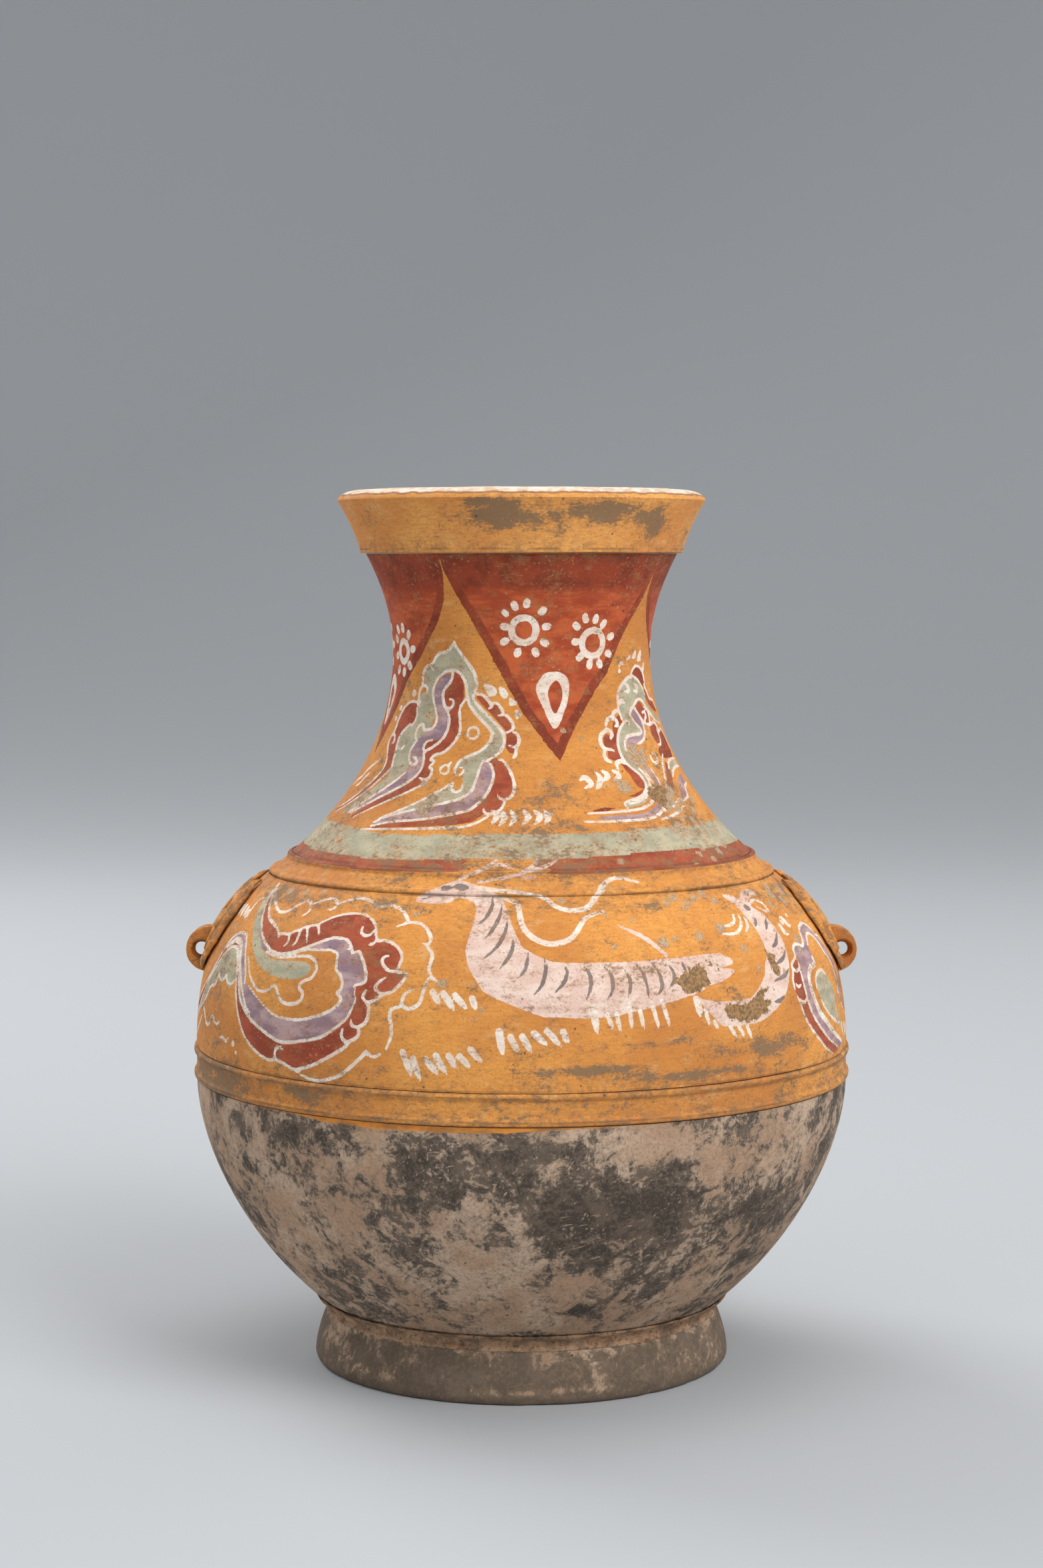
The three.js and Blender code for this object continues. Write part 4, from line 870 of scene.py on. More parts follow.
def roughen(piece: bpy.types.Object, size: float, depth: float, detail: int = 2) -> None:
    """Presses shallow hollows into a piece, so that no part of it rises.

    Args:
        piece: The piece.
        size: Size of the hollows in millimetres.
        depth: Their greatest depth in millimetres.
        detail: How many finer layers of hollows lie on them.
    """
    clouds = bpy.data.textures.new(piece.name + "_hollows", "CLOUDS")
    clouds.noise_scale = size * MM
    clouds.noise_depth = detail
    apply(piece, "DISPLACE", texture=clouds, texture_coords="LOCAL", mid_level=1.0, strength=depth * MM)


def coordinates(piece: bpy.types.Object) -> np.ndarray:
    """Reads where a piece's points are, in millimetres."""
    flat = np.empty(len(piece.data.vertices) * 3)
    piece.data.vertices.foreach_get("co", flat)
    return flat.reshape(-1, 3) / MM


def reshape(piece: bpy.types.Object, places: np.ndarray) -> None:
    """Moves a piece's points.

    Args:
        piece: The piece.
        places: Where each point goes, in millimetres.
    """
    piece.data.vertices.foreach_set("co", (places * MM).ravel())
    piece.data.update()


# The brush, which finds how far each point of a wall is from the edge of every mark.


def eased(path: Flat, closed: bool) -> np.ndarray:
    """Runs a smooth line through the points of a path.

    Args:
        path: Angles and heights by turns.
        closed: Whether the line comes back to its start.

    Returns:
        Angle, height and share of the way along, one row for each point.
    """
    fine = 5
    spots = np.array(path, float).reshape(-1, 2)
    if closed:
        padded = np.vstack((spots[-1:], spots, spots[:2]))
    else:
        padded = np.vstack((2 * spots[:1] - spots[1:2], spots, 2 * spots[-1:] - spots[-2:-1]))
    before, here, there, after = padded[:-3], padded[1:-2], padded[2:-1], padded[3:]
    bend = 2 * before - 5 * here + 4 * there - after
    twist = 3 * here - before - 3 * there + after
    found = []
    for t in np.arange(fine) / fine:
        found.append(0.5 * (2 * here + (there - before) * t + bend * t**2 + twist * t**3))
    line = np.stack(found, 1).reshape(-1, 2)
    line = np.vstack((line, line[:1] if closed else spots[-1:]))
    return np.column_stack((line, np.linspace(0, 1, len(line))))


class Wall:
    """The outer face of a thrown piece, as a painter sees it.

    Attributes:
        REACH: How far round a mark its distances are kept, in millimetres.
        SKIN: How far under the outline a point still counts as the outer face.
        DOT: Length of the line in the middle of a round mark, in degrees.
        CHUNK: How many points are measured at once.
    """

    REACH = 5.0
    SKIN = 3.0
    DOT = 0.01
    CHUNK = 4000

    def __init__(self, piece: bpy.types.Object, outline: np.ndarray) -> None:
        """Unrolls a piece.

        Args:
            piece: The thrown piece.
            outline: Radius and height of the vase's whole outer face, from the foot up.
        """
        self.piece = piece
        self.outline = outline[np.argsort(outline[:, 1])]
        places = coordinates(piece)
        self.height = places[:, 2]
        radius = np.hypot(places[:, 0], places[:, 1])
        turn = np.degrees(np.arctan2(places[:, 0], -places[:, 1]))
        self.angle = (turn + HALF_TURN / 2) % HALF_TURN - HALF_TURN / 2
        self.seen = np.flatnonzero(radius > self.radius_at(self.height) - self.SKIN)
        self.layers: dict[Pigment, np.ndarray] = {}

    def radius_at(self, height: np.ndarray) -> np.ndarray:
        """Looks up the outer radius at some heights."""
        return np.interp(height, self.outline[:, 1], self.outline[:, 0])

    def placed(self, angle: np.ndarray, height: np.ndarray) -> np.ndarray:
        """Turns angles and heights into places on the outer face."""
        radius, turn = self.radius_at(height), np.radians(angle)
        return np.column_stack((radius * np.sin(turn), -radius * np.cos(turn), height))

    def near(self, line: np.ndarray, margin: float) -> np.ndarray:
        """Finds the points of the wall close to a line.

        Args:
            line: Angles and heights along it.
            margin: How far round it to look, in millimetres.

        Returns:
            The numbers of those points.
        """
        thin = float(self.radius_at(line[:, 1]).min())
        spread = math.degrees(margin / thin)
        angle, height = self.angle[self.seen], self.height[self.seen]
        inside = ((angle > line[:, 0].min() - spread) & (angle < line[:, 0].max() + spread)
                  & (height > line[:, 1].min() - margin) & (height < line[:, 1].max() + margin))
        return self.seen[inside]

    def distance(self, points: np.ndarray, line: np.ndarray, half_width: np.ndarray) -> np.ndarray:
        """Measures from points of the wall to the edge of a line of changing width.

        Args:
            points: The numbers of the points.
            line: Angles and heights along the line.
            half_width: Half its width at each of them.

        Returns:
            The least distance of each point, below zero on the line.
        """
        ends = self.placed(line[:, 0], line[:, 1])
        starts, steps = ends[:-1], np.diff(ends, axis=0)
        lengths = np.maximum((steps**2).sum(1), TINY)
        widths = np.diff(half_width)
        spots = self.placed(self.angle[points], self.height[points])
        least = np.full(len(points), np.inf)
        for low in range(0, len(points), self.CHUNK):
            part = spots[low:low + self.CHUNK, None, :] - starts[None]
            along = np.clip((part * steps).sum(2) / lengths, 0, 1)
            gap = np.sqrt(((part - along[..., None] * steps) ** 2).sum(2))
            least[low:low + self.CHUNK] = (gap - half_width[:-1] - along * widths).min(1)
        return least

    def inside(self, points: np.ndarray, line: np.ndarray) -> np.ndarray:
        """Tells which points of the wall an outline goes round.

        Args:
            points: The numbers of the points.
            line: Angles and heights of the closed outline.

        Returns:
            True for each point inside.
        """
        across, up = self.angle[points][:, None], self.height[points][:, None]
        x0, y0, x1, y1 = line[:-1, 0], line[:-1, 1], line[1:, 0], line[1:, 1]
        found = np.zeros(len(points), bool)
        for low in range(0, len(points), self.CHUNK):
            part = slice(low, low + self.CHUNK)
            spans = (y0 > up[part]) != (y1 > up[part])
            rise = np.where(y1 == y0, TINY, y1 - y0)
            crossing = x0 + (up[part] - y0) * (x1 - x0) / rise
            found[part] = (spans & (across[part] < crossing)).sum(1) % 2 == 1
        return found

    def layer(self, pigment: Pigment) -> np.ndarray:
        """Gives the distances of one layer, new ones far from any mark."""
        return self.layers.setdefault(pigment, np.full(len(self.angle), FAR))

    def dots(self, spots: Spots, shift: float) -> None:
        """Puts round marks on the wall.

        Args:
            spots: The marks.
            shift: Degrees that they are moved round.
        """
        layer = self.layer(spots.pigment)
        for angle, height, radius in zip(spots.places[::3], spots.places[1::3], spots.places[2::3]):
            middle = np.array(((angle + shift, height), (angle + shift + self.DOT, height)))
            points = self.near(middle, radius + self.REACH)
            if len(points):
                gap = self.distance(points, middle, np.full(2, radius))
                layer[points] = np.minimum(layer[points], gap)

    def mark(self, mark: Mark, shift: float) -> None:
        """Puts one mark on the wall.

        Args:
            mark: The mark.
            shift: Degrees that it is moved round.
        """
        if isinstance(mark, Spots):
            self.dots(mark, shift)
            return
        layer = self.layer(mark.pigment)
        is_patch = isinstance(mark, Patch)
        if is_patch and mark.straight:
            spots = np.array(mark.path, float).reshape(-1, 2)
            line = np.column_stack((np.vstack((spots, spots[:1])), np.zeros(len(spots) + 1)))
        else:
            line = eased(mark.path, is_patch)
        line = line + (shift, 0, 0)
        points = self.near(line, self.REACH)
        if not len(points):
            return
        if is_patch:
            gap = self.distance(points, line, np.zeros(len(line)))
            gap = np.where(self.inside(points, line), -gap, gap)
            if mark.cut:
                layer[points] = np.maximum(layer[points], -gap)
                return
        else:
            share = np.minimum(line[:, 2], 1 - line[:, 2])
            end = np.where(line[:, 2] < 0.5, mark.start, mark.stop)
            full = mark.width / 2 * (end + (1 - end) * np.sin(math.pi * share))
            gap = self.distance(points, line, full)
        layer[points] = np.minimum(layer[points], gap)

    def paint(self, marks: tuple[Mark, ...]) -> None:
        """Puts every mark on the wall, on the front and again on the back.

        Args:
            marks: The marks, in the order that they are painted.
        """
        for mark in marks:
            for shift in (-HALF_TURN, 0.0, HALF_TURN):
                self.mark(mark, shift)

    def save(self, *pigments: Pigment) -> None:
        """Keeps layers on the piece, as one attribute each.

        Args:
            pigments: The layers that its finish reads.
        """
        for pigment in pigments:
            attribute = self.piece.data.attributes.new(pigment.value, "FLOAT", "POINT")
            attribute.data.foreach_set("value", self.layer(pigment).astype(np.float32))


# The finishes.

Feed = Union["Value", float, tuple[float, ...]]
Wiring = Callable[["Graph", dict[str, "Value"]], dict[str, "Value"]]


class Value:
    """One number or colour that a shader works out, which takes part in sums."""

    def __init__(self, graph: "Graph", socket: bpy.types.NodeSocket) -> None:
        """Keeps the socket that it comes out of, and the graph that it is in."""
        self.graph = graph
        self.socket = socket

    def __add__(self, other: Feed) -> "Value":
        """Adds to it."""
        return self.graph.math("ADD", self, other)

    def __sub__(self, other: Feed) -> "Value":
        """Takes away from it."""
        return self.graph.math("SUBTRACT", self, other)

    def __mul__(self, other: Feed) -> "Value":
        """Multiplies it."""
        return self.graph.math("MULTIPLY", self, other)

    def __abs__(self) -> "Value":
        """Drops its sign."""
        return self.graph.math("ABSOLUTE", self)

    def at_least(self, other: Feed) -> "Value":
        """Raises it to another value where it is lower."""
        return self.graph.math("MAXIMUM", self, other)

    def ramp(self, low: float, high: float, start: float = 0.0, stop: float = 1.0) -> "Value":
        """Eases it from one range into another.

        Args:
            low: Where the change begins.
            high: Where it ends.
            start: What comes out below low.
            stop: What comes out above high.

        Returns:
            The eased value.
        """
        feeds = {0: self, 1: low, 2: high, 3: start, 4: stop}
        return self.graph.node("MapRange", feeds, interpolation_type="SMOOTHSTEP")


class Graph:
    """A short way to write shader nodes."""

    def __init__(self, tree: bpy.types.NodeTree) -> None:
        """Works in one node tree."""
        self.tree = tree

    def feed(self, socket: bpy.types.NodeSocket, value: Feed) -> None:
        """Links a value into a socket, or sets it there."""
        if isinstance(value, Value):
            self.tree.links.new(value.socket, socket)
        else:
            socket.default_value = value

    def node(self, kind: str, feeds: dict[str | int, Feed] | None = None, output: str | int = 0,
             **settings: object) -> Value:
        """Adds a node.

        Args:
            kind: Its type, without the ShaderNode in front.
            feeds: What goes into its inputs, by name or number.
            output: Which of its outputs is wanted.
            settings: Its own values.

        Returns:
            That output.
        """
        made = self.tree.nodes.new("ShaderNode" + kind)
        for name, value in settings.items():
            setattr(made, name, value)
        for name, value in (feeds or {}).items():
            self.feed(made.inputs[name], value)
        return Value(self, made.outputs[output])

    def math(self, operation: str, first: Feed, second: Feed = 0.0) -> Value:
        """Does one sum."""
        return self.node("Math", {0: first, 1: second}, operation=operation)

    def mix(self, share: Feed, first: Feed, second: Feed) -> Value:
        """Mixes two colours."""
        return self.node("Mix", {0: share, 6: first, 7: second}, 2, data_type="RGBA")

    def place(self) -> Value:
        """Gives the place on the piece, in metres."""
        return self.node("TexCoord", output="Object")

    def height(self) -> Value:
        """Gives the height above the ground, in millimetres."""
        return self.node("SeparateXYZ", {0: self.place()}, "Z") * (1 / MM)

    def attribute(self, pigment: Pigment) -> Value:
        """Reads one of the layers that the piece itself carries."""
        return self.node("Attribute", output="Fac", attribute_name=pigment.value)

    def noise(self, size: float, detail: float = 3.0, squash: float = 1.0, offset: Feed = 0.0,
              rough: float = 0.55, warp: float = 0.0) -> Value:
        """Makes cloudy noise round a half.

        Args:
            size: Size of its patches in millimetres.
            detail: How many finer layers it has.
            squash: How much flatter than wide its patches are.
            offset: A number that gives other patches.
            rough: How strong the finer layers are.
            warp: How far the patches are twisted.

        Returns:
            The noise.
        """
        shift = self.node("CombineXYZ", {axis: offset for axis in range(3)})
        moved = self.node("Mapping", {"Vector": self.place(), "Location": shift, "Scale": (1, 1, squash)})
        return self.node("TexNoise", {"Vector": moved, "Scale": 1 / (size * MM), "Detail": detail,
                                      "Roughness": rough, "Distortion": warp}, "Fac")

    def shake(self, size: float, reach: Feed, **cloud: Feed) -> Value:
        """Makes a distance that wavers round nought.

        Args:
            size: Size of the noise that it follows, in millimetres.
            reach: How far it wavers.
            cloud: What else the noise takes.

        Returns:
            The wavering distance.
        """
        return (self.noise(size, **cloud) - 0.5) * reach

    def blotch(self, base: Feed, tint: Feed, size: float, low: float, high: float,
               strength: float = 1.0, **cloud: Feed) -> Value:
        """Lays a colour over another where a noise is high.

        Args:
            base: The colour below.
            tint: The colour of the blotches.
            size: Size of the noise in millimetres.
            low: The noise where they begin.
            high: The noise where they are full.
            strength: How well they cover there.
            cloud: What else the noise takes.

        Returns:
            The blotched colour.
        """
        return self.mix(self.noise(size, **cloud).ramp(low, high, 0, strength), base, tint)


def group(name: str, inputs: dict[str, float], wire: Wiring) -> bpy.types.NodeTree:
    """Makes a shader node group.

    Args:
        name: Its name.
        inputs: Each input and what it is when nothing feeds it.
        wire: What builds its nodes and gives its outputs by name.

    Returns:
        The group.
    """
    tree = bpy.data.node_groups.new(name, "ShaderNodeTree")
    for label, value in inputs.items():
        socket = tree.interface.new_socket(label, in_out="INPUT", socket_type="NodeSocketFloat")
        socket.default_value = value
    source = tree.nodes.new("NodeGroupInput")
    graph = Graph(tree)
    found = wire(graph, {label: Value(graph, source.outputs[label]) for label in inputs})
    for label in found:
        tree.interface.new_socket(label, in_out="OUTPUT", socket_type="NodeSocketFloat")
    sink = tree.nodes.new("NodeGroupOutput")
    for label, value in found.items():
        graph.feed(sink.inputs[label], value)
    return tree


def wire_cover(graph: Graph, given: dict[str, Value]) -> dict[str, Value]:
    """Turns the distance to a mark's edge into paint with a brushed edge and worn spots.

    Args:
        graph: The group's nodes.
        given: Its inputs by name.

    Returns:
        Its outputs by name.
    """
    gap = given["Distance"] + graph.shake(2.2, given["Edge"] * 4, detail=2)
    whole = gap.ramp(-0.16, 0.16, 1, 0)
    patches = graph.noise(26, offset=given["Offset"], rough=0.5)
    flecks = graph.noise(1.5, 4, offset=given["Offset"], rough=0.68)
    limit = given["Flaking"] * -0.26 + 0.74
    over = patches * 0.45 + flecks * 0.55 - limit
    return {"Cover": whole * over.ramp(-0.025, 0.025, 1, 0), "Film": whole * over.ramp(-0.2, 0.05, 1, 0)}


def wire_grain(graph: Graph, given: dict[str, Value]) -> dict[str, Value]:
    """Gives fired clay its fine grain, brushed slip, pits and hair cracks.

    Args:
        graph: The group's nodes.
        given: Its inputs by name.

    Returns:
        Its outputs by name.
    """
    sand = graph.noise(0.9, 4, rough=0.65)
    brushed = graph.noise(5, squash=5, rough=0.6)
    bristles = graph.noise(1.7, 2, squash=7, offset=0.4)
    cell = graph.node("TexVoronoi", {"Vector": graph.place(), "Scale": 1 / (7.5 * MM)}, "Distance")
    pits = cell.ramp(0.07, 0.12, 1, 0) * graph.noise(3.4, 2, offset=1.3).ramp(0.5, 0.62)
    vein = abs(graph.noise(11, offset=2.1, warp=0.7) - 0.5)
    cracks = vein.ramp(0.0025, 0.006, 1, 0) * graph.noise(16, 2, offset=3.7).ramp(0.56, 0.66)
    strokes = (brushed + bristles * 0.4) * given["Brushing"]
    height = sand * given["Coarseness"] + graph.noise(9) * 0.9 + strokes * 0.6 - pits * 1.6 - cracks * 0.8
    return {"Height": height, "Tone": brushed * 0.55 + sand * 0.45, "Pits": pits, "Cracks": cracks}


def wire_crust(graph: Graph, given: dict[str, Value]) -> dict[str, Value]:
    """Grows lime and earth on the clay, as in the ground: spots with ragged edges.

    Args:
        graph: The group's nodes.
        given: Its inputs by name.

    Returns:
        Its outputs by name.
    """
    near = (given["Distance"] + graph.shake(2.6, 5.5, detail=4, rough=0.7)).ramp(-0.5, 0.5, 1, 0)
    loose = graph.noise(4.2, 4, offset=5.1, rough=0.62) * 0.62 + graph.noise(45, 2, offset=6.3) * 0.38
    limit = given["Amount"] * -0.16 + 0.72
    cover = near.at_least((loose - limit).ramp(0.0, 0.02))
    tone = graph.noise(0.8, offset=7.7, rough=0.7)
    return {"Cover": cover, "Height": cover * tone, "Tone": tone}


class SharedEffects:
    """The node groups that several finishes use, and how a finish begins and ends."""

    def __init__(self) -> None:
        """Builds each group once."""
        self.groups = {
            "cover": group(
                "paint_cover", {"Distance": FAR, "Edge": 0.35, "Flaking": 0.3, "Offset": 0.0}, wire_cover),
            "grain": group("clay_grain", {"Coarseness": 1.0, "Brushing": 1.0}, wire_grain),
            "crust": group("burial_crust", {"Distance": FAR, "Amount": 0.0}, wire_crust),
        }

    def use(self, graph: Graph, name: str, **feeds: Feed) -> dict[str, Value]:
        """Places a group in a material.

        Args:
            graph: The material's nodes.
            name: Which group.
            feeds: Its inputs.

        Returns:
            Its outputs by name.
        """
        made = graph.tree.nodes.new("ShaderNodeGroup")
        made.node_tree = self.groups[name]
        for label, value in feeds.items():
            graph.feed(made.inputs[label], value)
        return {socket.name: Value(graph, socket) for socket in made.outputs}

    def start(self, name: str) -> tuple[bpy.types.Material, Graph]:
        """Begins a material and gives it with its nodes."""
        material = bpy.data.materials.new(name)
        material.use_nodes = True
        return material, Graph(material.node_tree)

    def end(self, graph: Graph, base: Feed, height: Feed, roughness: float) -> None:
        """Gives a material its colour, its bump and its sheen.

        Args:
            graph: The material's nodes.
            base: Its colour.
            height: Its relief.
            roughness: How matt it is.
        """
        sheen = {
            "Base Color": base,
            "Roughness": graph.noise(3, offset=50).ramp(0.3, 0.7, roughness - 0.1, roughness + 0.08),
            "Normal": graph.node("Bump", {"Strength": 0.5, "Distance": 0.35 * MM, "Height": height}),
            "Specular IOR Level": 0.28,
        }
        surface = graph.tree.nodes["Principled BSDF"]
        for name, value in sheen.items():
            graph.feed(surface.inputs[name], value)


class Tint:
    """The colours of slip, clay, soot and dirt, of painted shade, and of the floor."""

    OCHRE = colour(234, 163, 80)
    DARK_OCHRE = colour(208, 136, 66)
    BROWN_OCHRE = colour(192, 116, 54)
    PALE_OCHRE = colour(226, 176, 116)
    COLLAR_OCHRE = colour(240, 174, 96)
    DARK_COLLAR_OCHRE = colour(220, 148, 78)
    LUG_OCHRE = colour(214, 140, 66)
    DARK_LUG_OCHRE = colour(178, 110, 54)
    RUN_OCHRE = colour(222, 144, 62)
    DARK_RUN_OCHRE = colour(176, 116, 62)
    RAISED_OCHRE = colour(226, 170, 104)
    BORDER = colour(148, 56, 38)
    DARK_BORDER = colour(124, 44, 32)
    BRICK_WASH = colour(160, 62, 42)
    CHALK = colour(232, 214, 196)
    DARK_CHALK = colour(210, 184, 160)
    RUBBED_CHALK = colour(212, 168, 128)
    LIP_SHADE = colour(92, 80, 68)
    WORN_EARTH = colour(168, 130, 86)
    DARK_WORN_EARTH = colour(120, 94, 68)
    STAIN_RIM = colour(168, 116, 70)
    STAIN = colour(120, 104, 84)
    CHIP = colour(208, 172, 132)
    SPECK = colour(128, 88, 56)
    CREASE_DUSTY_SHADE = colour(132, 104, 76)
    # Painted shade along creases: a dusty shaded band and a dark line.
    CREASE_SHADE = colour(86, 62, 44)
    CAVITY = colour(120, 82, 48)
    CRUST = colour(206, 182, 150)
    DARK_CRUST = colour(150, 120, 92)
    SLIP_CRACK = colour(84, 60, 42)
    SLIP_PIT = colour(70, 52, 40)
    BUFF = colour(200, 172, 147)
    DARK_BUFF = colour(182, 148, 120)
    BUFF_SPECK = colour(136, 114, 96)
    COAL = colour(106, 94, 82)
    DARK_COAL = colour(68, 60, 53)
    FOOT_COAL = colour(130, 110, 89)
    DARK_FOOT_COAL = colour(100, 86, 72)
    COAL_SPECK = colour(138, 118, 102)
    RUBBED_COAL = colour(120, 103, 88)
    THIN_SOOT = colour(130, 114, 98)
    SCRATCH = colour(196, 168, 142)
    CLAY_CRACK = colour(70, 54, 44)
    CLAY_PIT = colour(58, 44, 36)
    LIME = colour(206, 186, 160)
    LUTING = colour(180, 146, 116)
    DARK_LUTING = colour(128, 106, 86)
    RUSTY_LUTING = colour(152, 108, 74)
    LUTING_SHADE = colour(86, 66, 52)
    FLOOR = colour(180, 183, 186)


@dataclass(frozen=True)
class Coat:
    """One paint.

    Attributes:
        pigment: The layer that says where it lies.
        light: Its colour where it is thin.
        dark: Its colour where it is thick.
        edge: How far its edge wanders, in millimetres.
        flaking: Share of it that has come away.
        strength: How well it hides what is under it.
    """

    pigment: Pigment
    light: Colour
    dark: Colour
    edge: float = 0.3
    flaking: float = 0.25
    strength: float = 0.94


COATS = (
    Coat(Pigment.BRICK, colour(196, 90, 50), colour(162, 60, 36), flaking=0.2),
    Coat(Pigment.RED, colour(172, 79, 56), colour(145, 58, 44), flaking=0.38),
    Coat(Pigment.MAUVE, colour(188, 160, 162), colour(142, 120, 136), flaking=0.32, strength=0.93),
    Coat(Pigment.GREEN, colour(188, 186, 160), colour(164, 166, 144), flaking=0.46, strength=0.92),
    Coat(Pigment.BONE, colour(238, 214, 200), colour(226, 194, 180), flaking=0.2),
    Coat(Pigment.GREY, colour(118, 108, 102), colour(92, 84, 82), flaking=0.3, strength=0.85),
    Coat(Pigment.WHITE, colour(246, 236, 222), colour(234, 214, 196), edge=0.22, flaking=0.14),
)


@dataclass(frozen=True)
class PaintedSlip:
    """Ochre slip over grey clay, with painting on it and the stains of a long burial.

    Attributes:
        name: Name of the material.
        coats: The paints on it, the lowest first.
        light: The brightest ochre.
        dark: The brownest ochre.
        staining: How much grey shows through.
        crusting: How much earth clings to it.
        creases: Heights in millimetres of joints and ridges that get a dark line of painted shade and a
            dusty, shaded band.
        triangles: Whether the brick layer has a dark border and band.
        lip_from: Height above which it is white, if any.
        cavities: Whether a layer says how high its relief stands.
    """

    name: str
    coats: tuple[Coat, ...] = ()
    light: Colour = Tint.OCHRE
    dark: Colour = Tint.DARK_OCHRE
    staining: float = 0.4
    crusting: float = 0.2
    creases: Flat = ()
    triangles: bool = False
    lip_from: float | None = None
    cavities: bool = False

    def build(self, shared: SharedEffects) -> bpy.types.Material:
        """Makes the material.

        Args:
            shared: The effects that every finish uses.

        Returns:
            The material.
        """
        material, graph = shared.start(self.name)
        grain = shared.use(graph, "grain", Coarseness=1.0, Brushing=1.0)
        base = graph.blotch(self.light, self.dark, 70, 0.36, 0.64)
        base = graph.mix(grain["Tone"].ramp(0.36, 0.66, 0, 0.5), base, Tint.BROWN_OCHRE)
        base = graph.blotch(base, Tint.PALE_OCHRE, 14, 0.56, 0.72, 0.5, detail=4, squash=2.5, offset=8.2)
        film: Feed = 0.0
        for number, coat in enumerate(self.coats):
            paint = shared.use(graph, "cover", Distance=graph.attribute(coat.pigment), Edge=coat.edge,
                               Flaking=coat.flaking, Offset=0.37 * number)
            body = graph.blotch(coat.light, coat.dark, 13, 0.38, 0.62, squash=2.2, offset=9 + number)
            if self.triangles and coat.pigment is Pigment.BRICK:
                body = self.borders(graph, body)
            share = (paint["Cover"] * coat.strength).at_least(paint["Film"] * 0.3)
            base = graph.mix(share, base, body)
            film = paint["Cover"].at_least(film)
        base = self.stains(graph, base)
        # Each crease gets painted shade, as a dark line and a dusty band.
        for number, crease in enumerate(self.creases):
            base = self.crease(graph, base, crease, number)
        if self.cavities:
            relief = graph.attribute(Pigment.HOLLOW)
            base = graph.mix(relief.ramp(-0.4, 0.7, 0.75, 0), base, Tint.CAVITY)
            base = graph.mix(relief.ramp(1.0, 2.2, 0, 0.35), base, Tint.RAISED_OCHRE)
        if self.lip_from is not None:
            base = self.lip(graph, base, self.lip_from)
        base = graph.mix(grain["Cracks"] * 0.4, base, Tint.SLIP_CRACK)
        base = graph.mix(grain["Pits"] * 0.75, base, Tint.SLIP_PIT)
        near = graph.attribute(Pigment.CRUST) if self.coats else FAR
        crust = shared.use(graph, "crust", Distance=near, Amount=self.crusting)
        earth = graph.mix(crust["Tone"].ramp(0.35, 0.65), Tint.DARK_CRUST, Tint.CRUST)
        base = graph.mix(crust["Cover"] * 0.88, base, earth)
        height = grain["Height"] + crust["Height"] * 1.7
        if self.coats:
            height = height + film * 0.25
        shared.end(graph, base, height, 0.82)
        return material

    def borders(self, graph: Graph, body: Feed) -> Value:
        """Darkens the border of each triangle and the band along their top.

        Args:
            graph: The material's nodes.
            body: The paint inside them.

        Returns:
            The paint with its borders.
        """
        shake = graph.shake(6, 3.0, offset=11)
        edge = (graph.attribute(Pigment.BRICK) + shake).ramp(-4.9, -4.4)
        level = graph.height() + shake * 3.0
        wash = graph.noise(9, squash=6, offset=12).ramp(0.4, 0.62) * level.ramp(377, 398, 0, 0.8)
        dark = graph.blotch(Tint.BORDER, Tint.DARK_BORDER, 12, 0.4, 0.62, offset=13)
        washed = graph.mix(wash, body, Tint.BRICK_WASH)
        return graph.mix(edge.at_least(level.ramp(397, 402)), washed, dark)

    def stains(self, graph: Graph, base: Feed) -> Value:
        """Lays worn places, grey clouds, chips and specks over the paint.

        Args:
            graph: The material's nodes.
            base: The painted colour.

        Returns:
            The stained colour.
        """
        if self.coats:
            worn = graph.attribute(Pigment.WORN) + graph.shake(4, 11, detail=5, rough=0.68)
            earth = graph.blotch(Tint.WORN_EARTH, Tint.DARK_WORN_EARTH, 1.6, 0.4, 0.6, detail=4, offset=27)
            base = graph.mix(worn.ramp(-0.3, 0.3, 1, 0), base, earth)
        cloud = (graph.noise(38, squash=1.6, offset=14) * 2.4
                 + graph.noise(1.9, 6, squash=1.6, offset=15, rough=0.75) * 5.2
                 + graph.noise(9, 7, squash=1.8, offset=52, rough=0.7) * 6.4)
        depth = cloud - (8.3 - 1.2 * self.staining) + graph.attribute(Pigment.SOOT) * 1.2
        base = graph.mix(depth.ramp(-1.1, 0.1, 0, 0.5), base, Tint.STAIN_RIM)
        base = graph.mix(depth.ramp(-0.05, 0.3, 0, 0.74), base, Tint.STAIN)
        chips = (graph.noise(1.5, 5, offset=28, rough=0.75).ramp(0.6, 0.64)
                 * graph.noise(21, offset=29).ramp(0.46, 0.6, 0.1, 1))
        base = graph.mix(chips * 0.75, base, Tint.CHIP)
        return graph.blotch(base, Tint.SPECK, 1.1, 0.58, 0.64, 0.6, detail=5, offset=51, rough=0.75)

    def crease(self, graph: Graph, base: Feed, crease: float, number: int) -> Value:
        """Darkens one crease with painted shade: a thin dark line along it and a dusty, shaded band beside
        it.

        Args:
            graph: The material's nodes.
            base: The colour so far.
            crease: Its height in millimetres.
            number: Which crease it is.

        Returns:
            The colour with its painted shade.
        """
        gap = abs(graph.height() - crease)
        # A thin dark line of painted shade along the crease, and a dusty band of painted shade beside it.
        line = gap.ramp(0.15, 0.75, 1, 0) * graph.noise(22, offset=16 + number).ramp(0.4, 0.56)
        dusty_shade = gap.ramp(0.5, 7, 0.55, 0) * graph.noise(4, 4, offset=20 + number, rough=0.7).ramp(0.45, 0.62)
        base = graph.mix(dusty_shade * 0.8, base, Tint.CREASE_DUSTY_SHADE)
        return graph.mix(line * 0.45, base, Tint.CREASE_SHADE)

